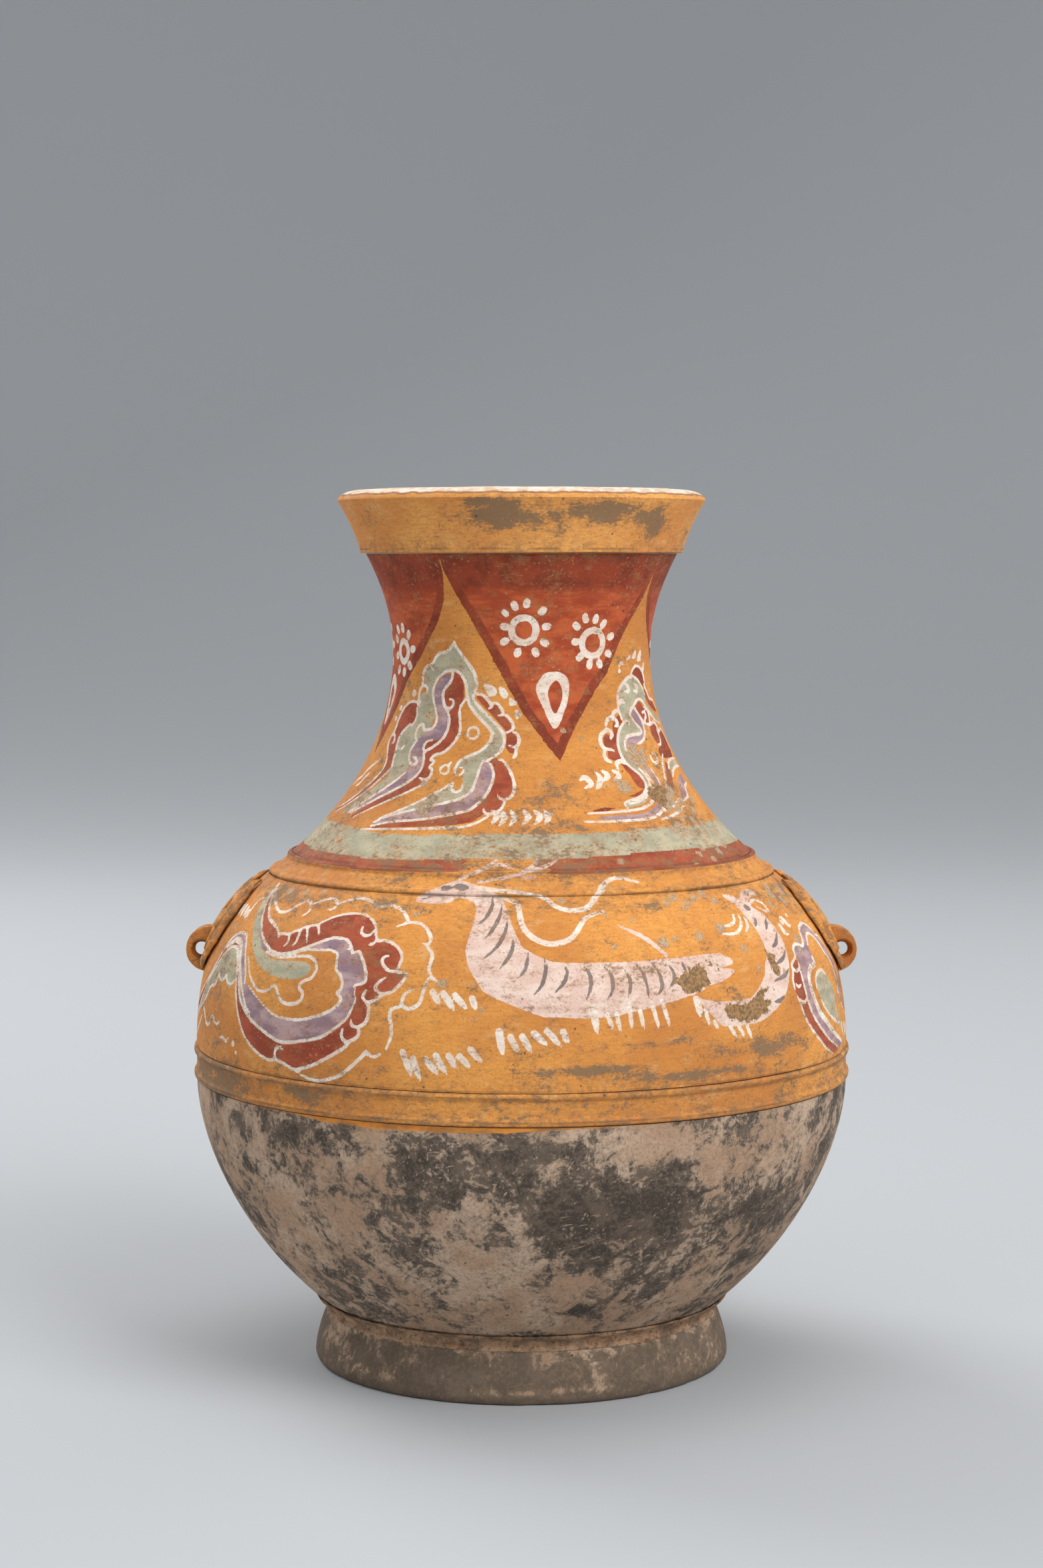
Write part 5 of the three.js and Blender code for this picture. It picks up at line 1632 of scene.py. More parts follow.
    def lip(self, graph: Graph, base: Feed, start: float) -> Value:
        """Whitens the lip, with a shade under it.

        Args:
            graph: The material's nodes.
            base: The colour so far.
            start: The height in millimetres where the white begins.

        Returns:
            The colour with its lip.
        """
        level = graph.height() + graph.shake(8, 2.2, offset=24)
        white = level.ramp(start - 0.3, start + 0.3)
        chalk = graph.blotch(Tint.CHALK, Tint.DARK_CHALK, 5, 0.42, 0.6, detail=4, offset=25)
        base = graph.mix(level.ramp(start - 1.4, start - 0.6, 0, 0.6), base, Tint.LIP_SHADE)
        base = graph.mix(white, base, chalk)
        rubbed = graph.noise(12, 5, offset=26, rough=0.65).ramp(0.5, 0.6, 0, 0.5) * white
        return graph.mix(rubbed, base, Tint.RUBBED_CHALK)


@dataclass(frozen=True)
class BareClay:
    """Unslipped clay, smoked dark in the kiln and rubbed back to buff.

    Attributes:
        name: Name of the material.
        scoring: How clear its scratches are.
        slip: Whether ochre runs down over its top.
        light_coal: The soot where it is thin.
        dark_coal: The soot where it is thick.
    """

    name: str
    scoring: float = 0.7
    slip: bool = False
    light_coal: Colour = Tint.COAL
    dark_coal: Colour = Tint.DARK_COAL

    def build(self, shared: SharedEffects) -> bpy.types.Material:
        """Makes the material.

        Args:
            shared: The effects that every finish uses.

        Returns:
            The material.
        """
        material, graph = shared.start(self.name)
        grain = shared.use(graph, "grain", Coarseness=1.6, Brushing=0.5)
        buff = graph.blotch(Tint.BUFF, Tint.DARK_BUFF, 34, 0.4, 0.6, detail=4, offset=30, rough=0.6)
        buff = graph.blotch(buff, Tint.BUFF_SPECK, 1.5, 0.48, 0.62, 0.6, detail=5, offset=31, rough=0.75)
        ragged = (graph.noise(34, squash=0.8, offset=32) * 4.6
                  + graph.noise(11, 8, offset=33, rough=0.72, warp=0.6) * 9.0
                  + graph.noise(2.6, 5, offset=34, rough=0.74) * 4.2)
        depth = ragged - 8.9 + graph.attribute(Pigment.SOOT)
        soot = depth.ramp(-0.03, 0.1, 0, 0.96)
        coal = graph.mix(depth.ramp(0.0, 1.2), self.light_coal, self.dark_coal)
        coal = graph.blotch(coal, Tint.COAL_SPECK, 1.7, 0.5, 0.62, 0.45, detail=5, offset=35, rough=0.75)
        coal = graph.blotch(coal, Tint.RUBBED_COAL, 15, 0.48, 0.6, 0.6, detail=6, offset=36, rough=0.68)
        base = graph.mix(depth.ramp(-1.2, 0.1, 0, 0.6), buff, Tint.THIN_SOOT)
        base = graph.mix(soot, base, coal)
        scored = self.scratches(graph)
        base = graph.mix(scored * self.scoring, base, Tint.SCRATCH)
        base = graph.mix(grain["Cracks"] * 0.4, base, Tint.CLAY_CRACK)
        base = graph.mix(grain["Pits"] * 0.8, base, Tint.CLAY_PIT)
        if self.slip:
            edge = graph.attribute(Pigment.SLIP) + graph.shake(5, 3.0, detail=4, offset=37)
            ochre = graph.blotch(
                Tint.RUN_OCHRE, Tint.DARK_RUN_OCHRE, 14, 0.4, 0.62, detail=4, squash=2, offset=38)
            base = graph.mix(edge.ramp(-0.5, 0.5), base, ochre)
        crust = shared.use(graph, "crust", Distance=FAR, Amount=0.25)
        base = graph.mix(crust["Cover"] * 0.7, base, Tint.LIME)
        height = grain["Height"] + soot * 0.5 + crust["Height"] * 1.2 - scored * 0.8
        shared.end(graph, base, height, 0.86)
        return material

    def scratches(self, graph: Graph) -> Value:
        """Scores fine straight scratches in a few directions.

        Args:
            graph: The material's nodes.

        Returns:
            Where the scratches are.
        """
        scored: Feed = 0.0
        for number, lean in enumerate((52, -38, 8, 78)):
            turned = graph.node("Mapping", {
                "Vector": graph.place(), "Rotation": (math.radians(12), math.radians(lean), 0),
                "Location": (number, number, number)})
            drawn_out = graph.node("Mapping", {"Vector": turned, "Scale": (0.02, 1, 1)})
            scale = 1 / (1.3 * MM)
            grooves = graph.node("TexNoise", {"Vector": drawn_out, "Scale": scale, "Detail": 1.0}, "Fac")
            here = graph.noise(24, offset=60 + number).ramp(0.53, 0.6)
            scored = (grooves.ramp(0.68, 0.71) * here).at_least(scored)
        return scored


@dataclass(frozen=True)
class LutingClay:
    """Soft clay that was pushed into a joint by finger, and crumbled."""

    name: str = "luting_clay_finish"

    def build(self, shared: SharedEffects) -> bpy.types.Material:
        """Makes the material."""
        material, graph = shared.start(self.name)
        grain = shared.use(graph, "grain", Coarseness=2.2, Brushing=0.4)
        base = graph.blotch(Tint.LUTING, Tint.DARK_LUTING, 9, 0.38, 0.62, detail=4, offset=40)
        base = graph.blotch(base, Tint.RUSTY_LUTING, 6, 0.52, 0.62, 0.6, detail=5, offset=42, rough=0.7)
        base = graph.blotch(base, Tint.LUTING_SHADE, 2, 0.52, 0.64, 0.8, detail=4, offset=41, rough=0.7)
        shared.end(graph, base, grain["Height"], 0.9)
        return material


# The pieces.


@dataclass(frozen=True)
class Bloom:
    """A soft cloud of soot, or of bare clay where its depth is below zero.

    Attributes:
        angle: Angle of its middle.
        height: Height of its middle.
        half_angle: Half its width in degrees.
        half_height: Half its height in millimetres.
        depth: How dark it is.
    """

    angle: float
    height: float
    half_angle: float
    half_height: float
    depth: float


def smoke(wall: Wall, ground: float, blooms: tuple[Bloom, ...], inside: float = 2.4) -> None:
    """Lays soot on a wall.

    Args:
        wall: The wall.
        ground: How dark it is away from every cloud.
        blooms: The clouds.
        inside: How dark it is on the faces within.
    """
    soot = np.full(len(wall.angle), inside)
    soot[wall.seen] = ground
    for bloom in blooms:
        turn = (wall.angle - bloom.angle + HALF_TURN / 2) % HALF_TURN - HALF_TURN / 2
        far = (turn / bloom.half_angle) ** 2 + ((wall.height - bloom.height) / bloom.half_height) ** 2
        soot += bloom.depth * np.exp(-far)
    wall.layers[Pigment.SOOT] = soot


def finish(piece: bpy.types.Object, material: bpy.types.Material) -> None:
    """Dresses a piece and hands it to the frame.

    Args:
        piece: The finished piece.
        material: What it is made of.
    """
    piece.data.materials.clear()
    piece.data.materials.append(material)
    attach(piece, BODY)
    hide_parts(piece.name.removesuffix("_look"))
    piece.data.calc_loop_triangles()
    LOG.info("%s has %d triangles", piece.name, len(piece.data.loop_triangles))


def strap_section(low: Spot, high: Spot, rows: int) -> list[Pull]:
    """Draws the section of a strap with a ridge along each edge.

    Args:
        low: The wall's outside under its lower edge.
        high: The wall's outside under its upper edge.
        rows: Rows of faces across its middle.

    Returns:
        Its curves.
    """
    inset, rise, hollow, inlay, gap = 2.2, 1.1, 0.3, 2.2, 0.2
    start, span = np.array(low), np.array(high) - np.array(low)
    width = float(np.hypot(*span))
    along = span / width
    out = np.array((along[1], -along[0]))
    heading = math.degrees(math.atan2(along[1], along[0]))

    def at(distance: float, height: float) -> Spot:
        """Finds a point of the section."""
        spot = start + along * distance + out * height
        return (float(spot[0]), float(spot[1]))

    return [
        Pull(at(gap, -inlay), at(gap, 0), 2),
        Pull(at(gap, 0), at(inset, rise), 5, heading - 75, heading, 0.45),
        Pull(at(inset, rise), at(2 * inset, -hollow), 5, heading, heading + 8, 0.4),
        Pull(at(2 * inset, -hollow), at(width - 2 * inset, -hollow), rows),
        Pull(at(width - 2 * inset, -hollow), at(width - inset, rise), 5, heading - 8, heading, 0.4),
        Pull(at(width - inset, rise), at(width - gap, 0), 5, heading, heading + 75, 0.45),
        Pull(at(width - gap, 0), at(width - gap, -inlay), 2),
        Pull(at(width - gap, -inlay), at(gap, -inlay), 3),
    ]


@dataclass
class Base:
    """The bare clay below: the foot ring, the luting coil over it and the lower bowl."""

    chip_depth: float = 1.1
    chip_height: float = 2.5
    chip_spread: float = 2.6
    chip_calm: float = 0.9
    chip_from: float = 100.0
    chip_fade: float = 4.0
    chip_waves: tuple[Spot, ...] = ((7, 0.4), (13, 1.9), (23, 4.1), (41, 2.2))
    foot_edge: Spot = (107.8, 6.0)
    foot_top: Spot = (100.2, 29.8)
    base_edge: Spot = (78.0, 18.0)
    belly_edge: Spot = (168.6, 149.5)
    wall_blooms: tuple[Bloom, ...] = (
        Bloom(20, 106, 18, 18, 2.6), Bloom(-2, 134, 9, 13, 1.7), Bloom(-2, 118, 8, 8, 0.9),
        Bloom(-17, 130, 8, 12, 0.5), Bloom(-37, 140, 9, 8, 1.0), Bloom(-30, 112, 12, 4.5, 1.0),
        Bloom(-48, 116, 8, 7, 0.7), Bloom(-57, 128, 5, 16, 0.35), Bloom(48, 95, 12, 15, 1.2),
        Bloom(55, 90, 6, 8, 0.5), Bloom(12, 80, 5, 9, 1.0), Bloom(6, 72, 3, 6, 0.6),
        Bloom(35, 86, 10, 10, 0.4), Bloom(-22, 102, 6, 8, 0.35), Bloom(66, 118, 9, 34, 0.55),
        Bloom(50, 144, 12, 7, 0.3), Bloom(-42, 66, 4, 8, 0.7), Bloom(-64, 76, 12, 12, 0.4),
        Bloom(-36, 74, 4, 12, 0.4), Bloom(-11, 92, 4, 12, 0.3), Bloom(13, 53, 6, 5, 0.7),
        Bloom(30, 48, 4, 4, 0.9), Bloom(52, 68, 8, 8, 0.5), Bloom(30, 66, 8, 7, 0.5),
        Bloom(4, 126, 2.6, 8, -1.6), Bloom(24, 139, 7, 8, -1.3), Bloom(34, 123, 4.5, 11, -1.1),
        Bloom(48, 118, 6, 14, -0.6), Bloom(-7, 78, 8, 16, -0.6), Bloom(0, 64, 10, 9, -0.7),
        Bloom(60, 102, 3, 7, -0.7), Bloom(-66, 140, 10, 10, -0.4), Bloom(12, 92, 2.2, 3, -1.2),
        Bloom(-16, 127, 2, 3.4, -1.2), Bloom(86, 110, 10, 24, 0.6), Bloom(-80, 104, 7, 12, 0.4))
    foot_blooms: tuple[Bloom, ...] = (
        Bloom(0, 29.5, 400, 5, -2.1), Bloom(0, 1, 400, 3, 1.2), Bloom(-3, 6.5, 9, 2.6, -1.9),
        Bloom(12, 7, 12, 2, -1.5), Bloom(21, 10, 3, 8, -1.9), Bloom(-32, 18, 4, 4, -1.8),
        Bloom(-46, 8, 8, 4, -1.2), Bloom(38, 9, 6, 4, -1.1), Bloom(-64, 22, 8, 9, -1.1),
        Bloom(56, 20, 12, 8, -0.9), Bloom(6, 21, 4, 7, -1.1), Bloom(72, 8, 8, 4, -0.8),
        Bloom(-54, 14, 5, 5, -0.7), Bloom(50, 12, 5, 4, -0.8))
    foot_soot: float = 1.25
    bowl_soot: float = -0.46
    slip_edge: Flat = (
        -90, 150.5, -70, 150, -50, 149.5, -40, 149, -34, 147.4, -25, 146.4, -10, 146.6, 0, 147.2, 6, 148.2,
        15, 149, 22, 149.6, 35, 150.4, 42, 153, 50, 153.4, 56, 151.4, 65, 151, 78, 151, 90, 150.5)

    def bowl_outside(self) -> Pull:
        """Draws the bowl's outer face."""
        return Pull(self.base_edge, self.belly_edge, 118, 21, 90, 0.306)

    def foot(self) -> bpy.types.Object:
        """Throws the foot ring, worn and chipped at its lower edge.

        Returns:
            The foot ring.
        """
        piece = throw("foot_ring_look", [
            Pull((105.6, 0), (107.8, 3.4), 8, 20, 80, 0.4),
            Pull((107.8, 3.4), self.foot_top, 34, 92, 112, 0.33),
            Pull(self.foot_top, (89.1, 22.9), 6, 212, 212),
            Pull((89.1, 22.9), (94.6, 0.8), 12),
            Pull((94.6, 0.8), (96, 0), 2),
            Pull((96, 0), (105.6, 0), 6),
        ], 420)
        places = coordinates(piece)
        turn = np.arctan2(places[:, 1], places[:, 0])
        wave = sum(np.sin(turn * turns + start) for turns, start in self.chip_waves)
        low = np.exp(-((places[:, 2] - self.chip_height) / self.chip_spread) ** 2)
        radius = np.hypot(places[:, 0], places[:, 1])
        outer = np.clip((radius - self.chip_from) / self.chip_fade, 0, 1)
        chips = np.clip((wave - self.chip_calm) / 2, 0, 1) * low * outer
        places[:, :2] *= (1 - chips * self.chip_depth / radius)[:, None]
        reshape(piece, places)
        roughen(piece, 12, 0.5)
        return piece

    def coil(self) -> bpy.types.Object:
        """Throws the crumbling fillet of clay between the foot and the bowl.

        Returns:
            The coil.
        """
        piece = throw("foot_luting_coil_look", [
            Pull((99.4, 28.6), (101.6, 32.2), 3),
            Pull((101.6, 32.2), (107.6, 34.4), 4),
            Pull((107.6, 34.4), (102.2, 25.6), 16, 226, 284, 0.4),
            Pull((102.2, 25.6), (99.4, 28.6), 4),
        ], 560)
        roughen(piece, 13, 1.2, 4)
        roughen(piece, 3, 0.7, 3)
        return piece

    def bowl(self) -> bpy.types.Object:
        """Throws the lower bowl.

        Returns:
            The bowl, with soot and slip on it.
        """
        outside = self.bowl_outside()
        piece = throw("lower_bowl_look", [
            Pull((0, 18), self.base_edge, 10),
            outside,
            Pull(self.belly_edge, (166.1, 149.5), 1),
            Pull((166.1, 149.5), (166.1, 157.4), 2),
            Pull((166.1, 157.4), (158.6, 157.4), 2),
            Pull((158.6, 157.4), (158.6, 149.5), 1),
            Pull((158.6, 149.5), (80.8, 29), 16, 270, 200, 0.306),
            Pull((80.8, 29), (0, 29), 8),
        ], 560)
        roughen(piece, 60, 0.5, 1)
        roughen(piece, 5, 0.16, 2)
        wall = Wall(piece, outside.points(200))
        smoke(wall, self.bowl_soot, self.wall_blooms)
        edge = np.interp(wall.angle, self.slip_edge[::2], self.slip_edge[1::2])
        wall.layers[Pigment.SLIP] = wall.height - edge
        wall.save(Pigment.SOOT, Pigment.SLIP)
        return piece

    def build(self, shared: SharedEffects) -> None:
        """Makes and dresses the pieces of bare clay.

        Args:
            shared: The effects that every finish uses.
        """
        foot = self.foot()
        wall = Wall(foot, np.array((self.foot_edge, self.foot_top, (107.8, 0), (99, 32))))
        smoke(wall, self.foot_soot, self.foot_blooms)
        wall.save(Pigment.SOOT)
        foot_clay = BareClay("foot_clay", scoring=0.15, light_coal=Tint.FOOT_COAL,
                             dark_coal=Tint.DARK_FOOT_COAL)
        finish(foot, foot_clay.build(shared))
        finish(self.coil(), LutingClay().build(shared))
        finish(self.bowl(), BareClay("bowl_clay", slip=True).build(shared))


@dataclass
class Body:
    """The painted body above: two straps, the domed belly and the waisted neck."""

    belly_low: Spot = (168.6, 149.5)
    belly_high: Spot = (168.6, 165.5)
    shoulder: Spot = (130.5, 254.0)
    neck_foot: Spot = (118.42, 264.5)
    throat: Spot = (66.6, 366.0)
    neck_top: Spot = (80.3, 417.5)
    soot: float = -0.15
    strap_soot: float = -0.2
    blooms: tuple[Bloom, ...] = (
        Bloom(12, 176, 9, 2.6, 1.7), Bloom(30, 171, 13, 3, 1.8), Bloom(45, 180, 11, 4, 1.6),
        Bloom(22, 187, 8, 2, 1.3), Bloom(-15, 181, 6, 3, 0.5), Bloom(-38, 171, 10, 4, 0.5),
        Bloom(-72, 200, 8, 28, 0.7), Bloom(-60, 246, 10, 5, 1.0), Bloom(68, 246, 10, 6, 1.0),
        Bloom(80, 200, 7, 25, 0.5), Bloom(20, 247, 12, 3, 0.6), Bloom(-24, 249, 7, 3, 0.5),
        Bloom(-15, 255, 8, 5, -1.6), Bloom(40, 204, 6, 4, 0.4), Bloom(-22, 292, 6, 9, 0.7),
        Bloom(62, 298, 10, 20, 0.9), Bloom(45, 286, 10, 6, 0.6), Bloom(30, 330, 8, 12, 0.4),
        Bloom(6, 296, 16, 9, 0.8), Bloom(0, 268, 400, 4, 0.6), Bloom(0, 282, 400, 3, 0.5),
        Bloom(0, 249, 400, 4, 0.4), Bloom(-30, 293, 5, 6, 0.8), Bloom(10, 286, 30, 3, 0.4),
        Bloom(-64, 298, 9, 20, 0.6), Bloom(15, 275, 20, 4, 0.5))
    strap_blooms: tuple[Bloom, ...] = (
        Bloom(-66, 158, 16, 14, 1.3), Bloom(-38, 159, 4, 4, 1.0), Bloom(20, 153, 8, 2, 0.5),
        Bloom(48, 158, 3, 6, 0.5), Bloom(75, 158, 8, 8, 0.5))

    def dome_outside(self) -> Pull:
        """Draws the dome's outer face."""
        return Pull(self.belly_high, self.shoulder, 88, 90, 143, 0.387)

    def neck_outside(self) -> list[Pull]:
        """Draws the neck's outer face."""
        return [Pull(self.neck_foot, self.throat, 106, 139.5, 90, 0.348),
                Pull(self.throat, self.neck_top, 42, 90, 62.5, 0.365)]

    def outline(self) -> np.ndarray:
        """Gives radius and height of the painted outer face, from the belly strap to the collar."""
        faces = [Pull(self.belly_low, self.belly_high, 1), self.dome_outside(),
                 Pull(self.shoulder, self.neck_foot, 1), *self.neck_outside()]
        return np.vstack([face.points(120) for face in faces])

    def dome(self) -> bpy.types.Object:
        """Throws the upper belly.

        Returns:
            The upper belly.
        """
        piece = throw("upper_belly_look", [
            Pull((159.6, 157.6), (166.1, 157.6), 2),
            Pull((166.1, 157.6), (166.1, 165.5), 2),
            Pull((166.1, 165.5), self.belly_high, 1),
            self.dome_outside(),
            Pull(self.shoulder, (128.86, 252.11), 1),
            Pull((128.86, 252.11), (120.65, 259.2), 3),
            Pull((120.65, 259.2), (110.7, 259.2), 2),
            Pull((110.7, 259.2), (159.6, 165.5), 9, 318, 270, 0.387),
            Pull((159.6, 165.5), (159.6, 157.6), 1),
        ], 900)
        roughen(piece, 70, 0.6, 1)
        return piece

    def neck(self) -> bpy.types.Object:
        """Throws the neck.

        Returns:
            The neck.
        """
        piece = throw("neck_look", [
            Pull((112.3, 259.4), (120.65, 259.4), 2),
            Pull((120.65, 259.4), (116.78, 262.61), 2),
            Pull((116.78, 262.61), self.neck_foot, 1),
            *self.neck_outside(),
            Pull(self.neck_top, (71.3, 417.5), 2),
            Pull((71.3, 417.5), (58.6, 366), 6, 242, 270, 0.365),
            Pull((58.6, 366), (106.2, 264.5), 9, 270, 319.5, 0.348),
            Pull((106.2, 264.5), (112.3, 259.4), 1),
        ], 560)
        roughen(piece, 50, 0.4, 1)
        return piece

    def build(self, shared: SharedEffects) -> None:
        """Makes, paints and dresses the painted pieces.

        Args:
            shared: The effects that every finish uses.
        """
        outline = self.outline()
        layers = [coat.pigment for coat in COATS] + [Pigment.WORN, Pigment.CRUST, Pigment.SOOT]
        shoulder = strap_section(self.shoulder, self.neck_foot, 10)
        belt = strap_section(self.belly_low, self.belly_high, 8)
        pieces = (
            (self.dome(), BELLY_PAINTING, PaintedSlip("belly_slip", COATS, creases=(253.6, 166.2))),
            (throw("shoulder_strap_look", shoulder, 560), (*BELLY_PAINTING, *BANDS),
             PaintedSlip("shoulder_slip", COATS, staining=0.6, creases=(254.4, 264.2))),
            (self.neck(), (*NECK_PAINTING, *LONG_DRAGON), PaintedSlip(
                "neck_slip", COATS, staining=0.3, triangles=True, creases=(265.2, 417.2))),
        )
        for piece, marks, slip in pieces:
            wall = Wall(piece, outline)
            wall.paint(marks)
            smoke(wall, self.soot, self.blooms)
            wall.save(*layers)
            finish(piece, slip.build(shared))
        belt_slip = PaintedSlip("belt_slip", staining=0.75, creases=(151.8, 163.2, 149.6, 165.4))
        strap = throw("belly_strap_look", belt, 560)
        wall = Wall(strap, outline)
        smoke(wall, self.strap_soot, self.strap_blooms)
        wall.save(Pigment.SOOT)
        finish(strap, belt_slip.build(shared))


@dataclass
class Mouth:
    """The flared collar and its broad pale lip."""

    ledge: Spot = (83.2, 417.5)
    edge: Spot = (94.8, 444.5)
    land: Spot = (83.8, 450.0)
    soot: float = -0.9
    blooms: tuple[Bloom, ...] = (
        Bloom(-6, 436, 14, 8, 2.5), Bloom(28, 438, 14, 6, 2.8), Bloom(49, 433, 7, 8, 2.2),
        Bloom(-13, 443, 6, 2, 1.6), Bloom(12, 428, 8, 3, 0.9), Bloom(-62, 436, 10, 8, 1.1),
        Bloom(78, 430, 10, 8, 1.0), Bloom(-32, 424, 6, 3, 0.5))

    def build(self, shared: SharedEffects) -> None:
        """Makes and dresses the collar.

        Args:
            shared: The effects that every finish uses.
        """
        piece = throw("mouth_collar_look", [
            Pull((71.3, 417.6), (82.7, 417.6), 3),
            Pull((82.7, 417.6), (83.2, 418.1), 2, 10, 66, 0.4),
            Pull((83.2, 418.1), self.edge, 30, 76, 57.5),
            Pull(self.edge, self.land, 12, 98, 180, 0.32),
            Pull(self.land, (79.8, 450), 4),
            Pull((79.8, 450), (78.2, 448.4), 4, 180, 262, 0.5),
            Pull((78.2, 448.4), (71.3, 417.6), 22, 264, 244, 0.36),
        ], 480)
        roughen(piece, 30, 0.35, 2)
        wall = Wall(piece, np.array((self.ledge, self.edge, (94.8, 450.5))))
        smoke(wall, self.soot, self.blooms)
        wall.save(Pigment.SOOT)
        slip = PaintedSlip("collar_slip", light=Tint.COLLAR_OCHRE, dark=Tint.DARK_COLLAR_OCHRE,
                           staining=0.75, creases=(419.6,), lip_from=447.4)
        finish(piece, slip.build(shared))


@dataclass(frozen=True)
class Boss:
    """A round swelling of the mask: its place, its half sizes and its rise, in millimetres."""

    across: float
    up: float
    half_across: float
    half_up: float
    rise: float


@dataclass(frozen=True)
class Rope:
    """A rounded ridge of the mask, or a groove where its rise is below zero.

    Attributes:
        path: Distance across and up of each point that it runs through.
        half_width: Half its width in millimetres.
        rise: How far it stands up.
    """

    path: Flat
    half_width: float
    rise: float


@dataclass
class Mask:
    """A moulded beast mask and the pierced lug that stands for its nose, on the side towards +X."""

    low: float = 203.0
    tall: float = 48.0
    widths: Flat = (0, 17, 16, 38, 32, 40, 48, 30)
    ears: tuple[Spot, ...] = ((0, 7), (24, 6))
    ear_rise: float = 7.0
    waist: Spot = (16, 5)
    waist_depth: float = 0.88
    plate_rise: float = 2.0
    rim_drop: float = 0.9
    rim_width: float = 1.6
    relief_fade: float = 3.0
    pupil: float = 1.5
    pupil_depth: float = 0.9
    lug_height: float = 213.0
    lug_reach: float = 174.45
    lug_width: float = 13.0
    lug_half_height: float = 12.4
    lug_root: float = 6.0
    hole_place: Spot = (166.2, 3.8)
    hole_radii: Spot = (5.4, 2.9)
    hole_depth: float = 8.0
    columns: int = 200
    rows: int = 130
    bosses: tuple[Boss, ...] = (
        Boss(16, 26, 6, 5.2, 2.3), Boss(26, 12, 9, 7, 1.2), Boss(0, 38, 5, 10, 1.6),
        Boss(34, 30, 4.2, 8.5, 1.6), Boss(9.5, 5, 4, 5, 1.1), Boss(0, 26, 5.5, 9, 1.6))
    ropes: tuple[Rope, ...] = (
        Rope((6.5, 22, 8, 29, 12, 35, 18, 37.4, 25, 35.4, 28.6, 30.5, 27.4, 26.6, 24.6, 26.8), 2.3, 2.0),
        Rope((12, 36, 17, 41.5, 24, 44.6, 28, 42.6), 2.2, 1.6),
        Rope((7.6, 20, 12.5, 19.4, 14.8, 15, 12.4, 11, 9.4, 12.4, 10.2, 15), 1.7, 1.5),
        Rope((7.5, 3, 14, 5.6, 20, 5.4, 27, 9, 33, 16), 1.8, 1.3),
        Rope((30, 10, 36, 17, 37.6, 24), 1.5, 0.9),
        Rope((0, 30, 0, 46), 0.7, -0.9),
        Rope((34, 24, 34.6, 36), 0.7, -0.9),
        Rope((3, 33, 4, 38, 3, 43), 0.6, -0.6),
        Rope((22, 16, 27, 17, 30, 13, 27, 9.6, 23.4, 11, 25, 13.4), 0.8, -0.9),
        Rope((16, 13, 19, 9.5), 0.7, -0.7), Rope((18.6, 14.6, 21.6, 10.6), 0.7, -0.6),
        Rope((29, 38, 34, 41), 0.7, -0.7), Rope((30, 35.6, 36, 38), 0.7, -0.7),
        Rope((9.8, 24, 10.4, 29, 14, 32.6, 19, 32.6, 22.4, 29), 0.6, -0.7),
    )

    def crown(self, side: np.ndarray) -> np.ndarray:
        """Gives the height of the upper edge at some distances from the middle."""
        def bump(share: np.ndarray) -> np.ndarray:
            """Swells from nothing at one to one at nought."""
            return np.clip(1 - share**2, 0, 1) ** 2

        (middle, half_middle), (ear, half_ear) = self.ears
        swell = np.maximum(bump((side - middle) / half_middle), bump((side - ear) / half_ear))
        return self.tall - self.ear_rise * (1 - swell)

    def relief(self, side: np.ndarray, up: np.ndarray) -> np.ndarray:
        """Gives how far the beast's features stand off the plate.

        Args:
            side: Distance from the middle.
            up: Height over the jaw.

        Returns:
            The relief in millimetres.
        """
        rise = np.zeros_like(side)
        for boss in self.bosses:
            far = ((side - boss.across) / boss.half_across) ** 2 + ((up - boss.up) / boss.half_up) ** 2
            rise = np.maximum(rise, boss.rise * np.sqrt(np.clip(1 - far, 0, 1)))
        grooves = np.zeros_like(side)
        for rope in self.ropes:
            line = eased(rope.path, False)[:, :2]
            gap = np.full(side.shape, np.inf)
            for start, end in zip(line[:-1], line[1:]):
                step = end - start
                across, over = side - start[0], up - start[1]
                share = np.clip((across * step[0] + over * step[1]) / max(step @ step, TINY), 0, 1)
                gap = np.minimum(gap, np.hypot(across - share * step[0], over - share * step[1]))
            shape = np.sqrt(np.clip(1 - (gap / rope.half_width) ** 2, 0, 1))
            if rope.rise > 0:
                rise = np.maximum(rise, rope.rise * shape)
            else:
                grooves = np.minimum(grooves, rope.rise * shape)
        eye = self.bosses[0]
        pupil = np.hypot(side - eye.across, up - eye.up) / self.pupil
        grooves = np.minimum(grooves, -self.pupil_depth * np.clip(1 - pupil**2, 0, 1))
        return rise + grooves

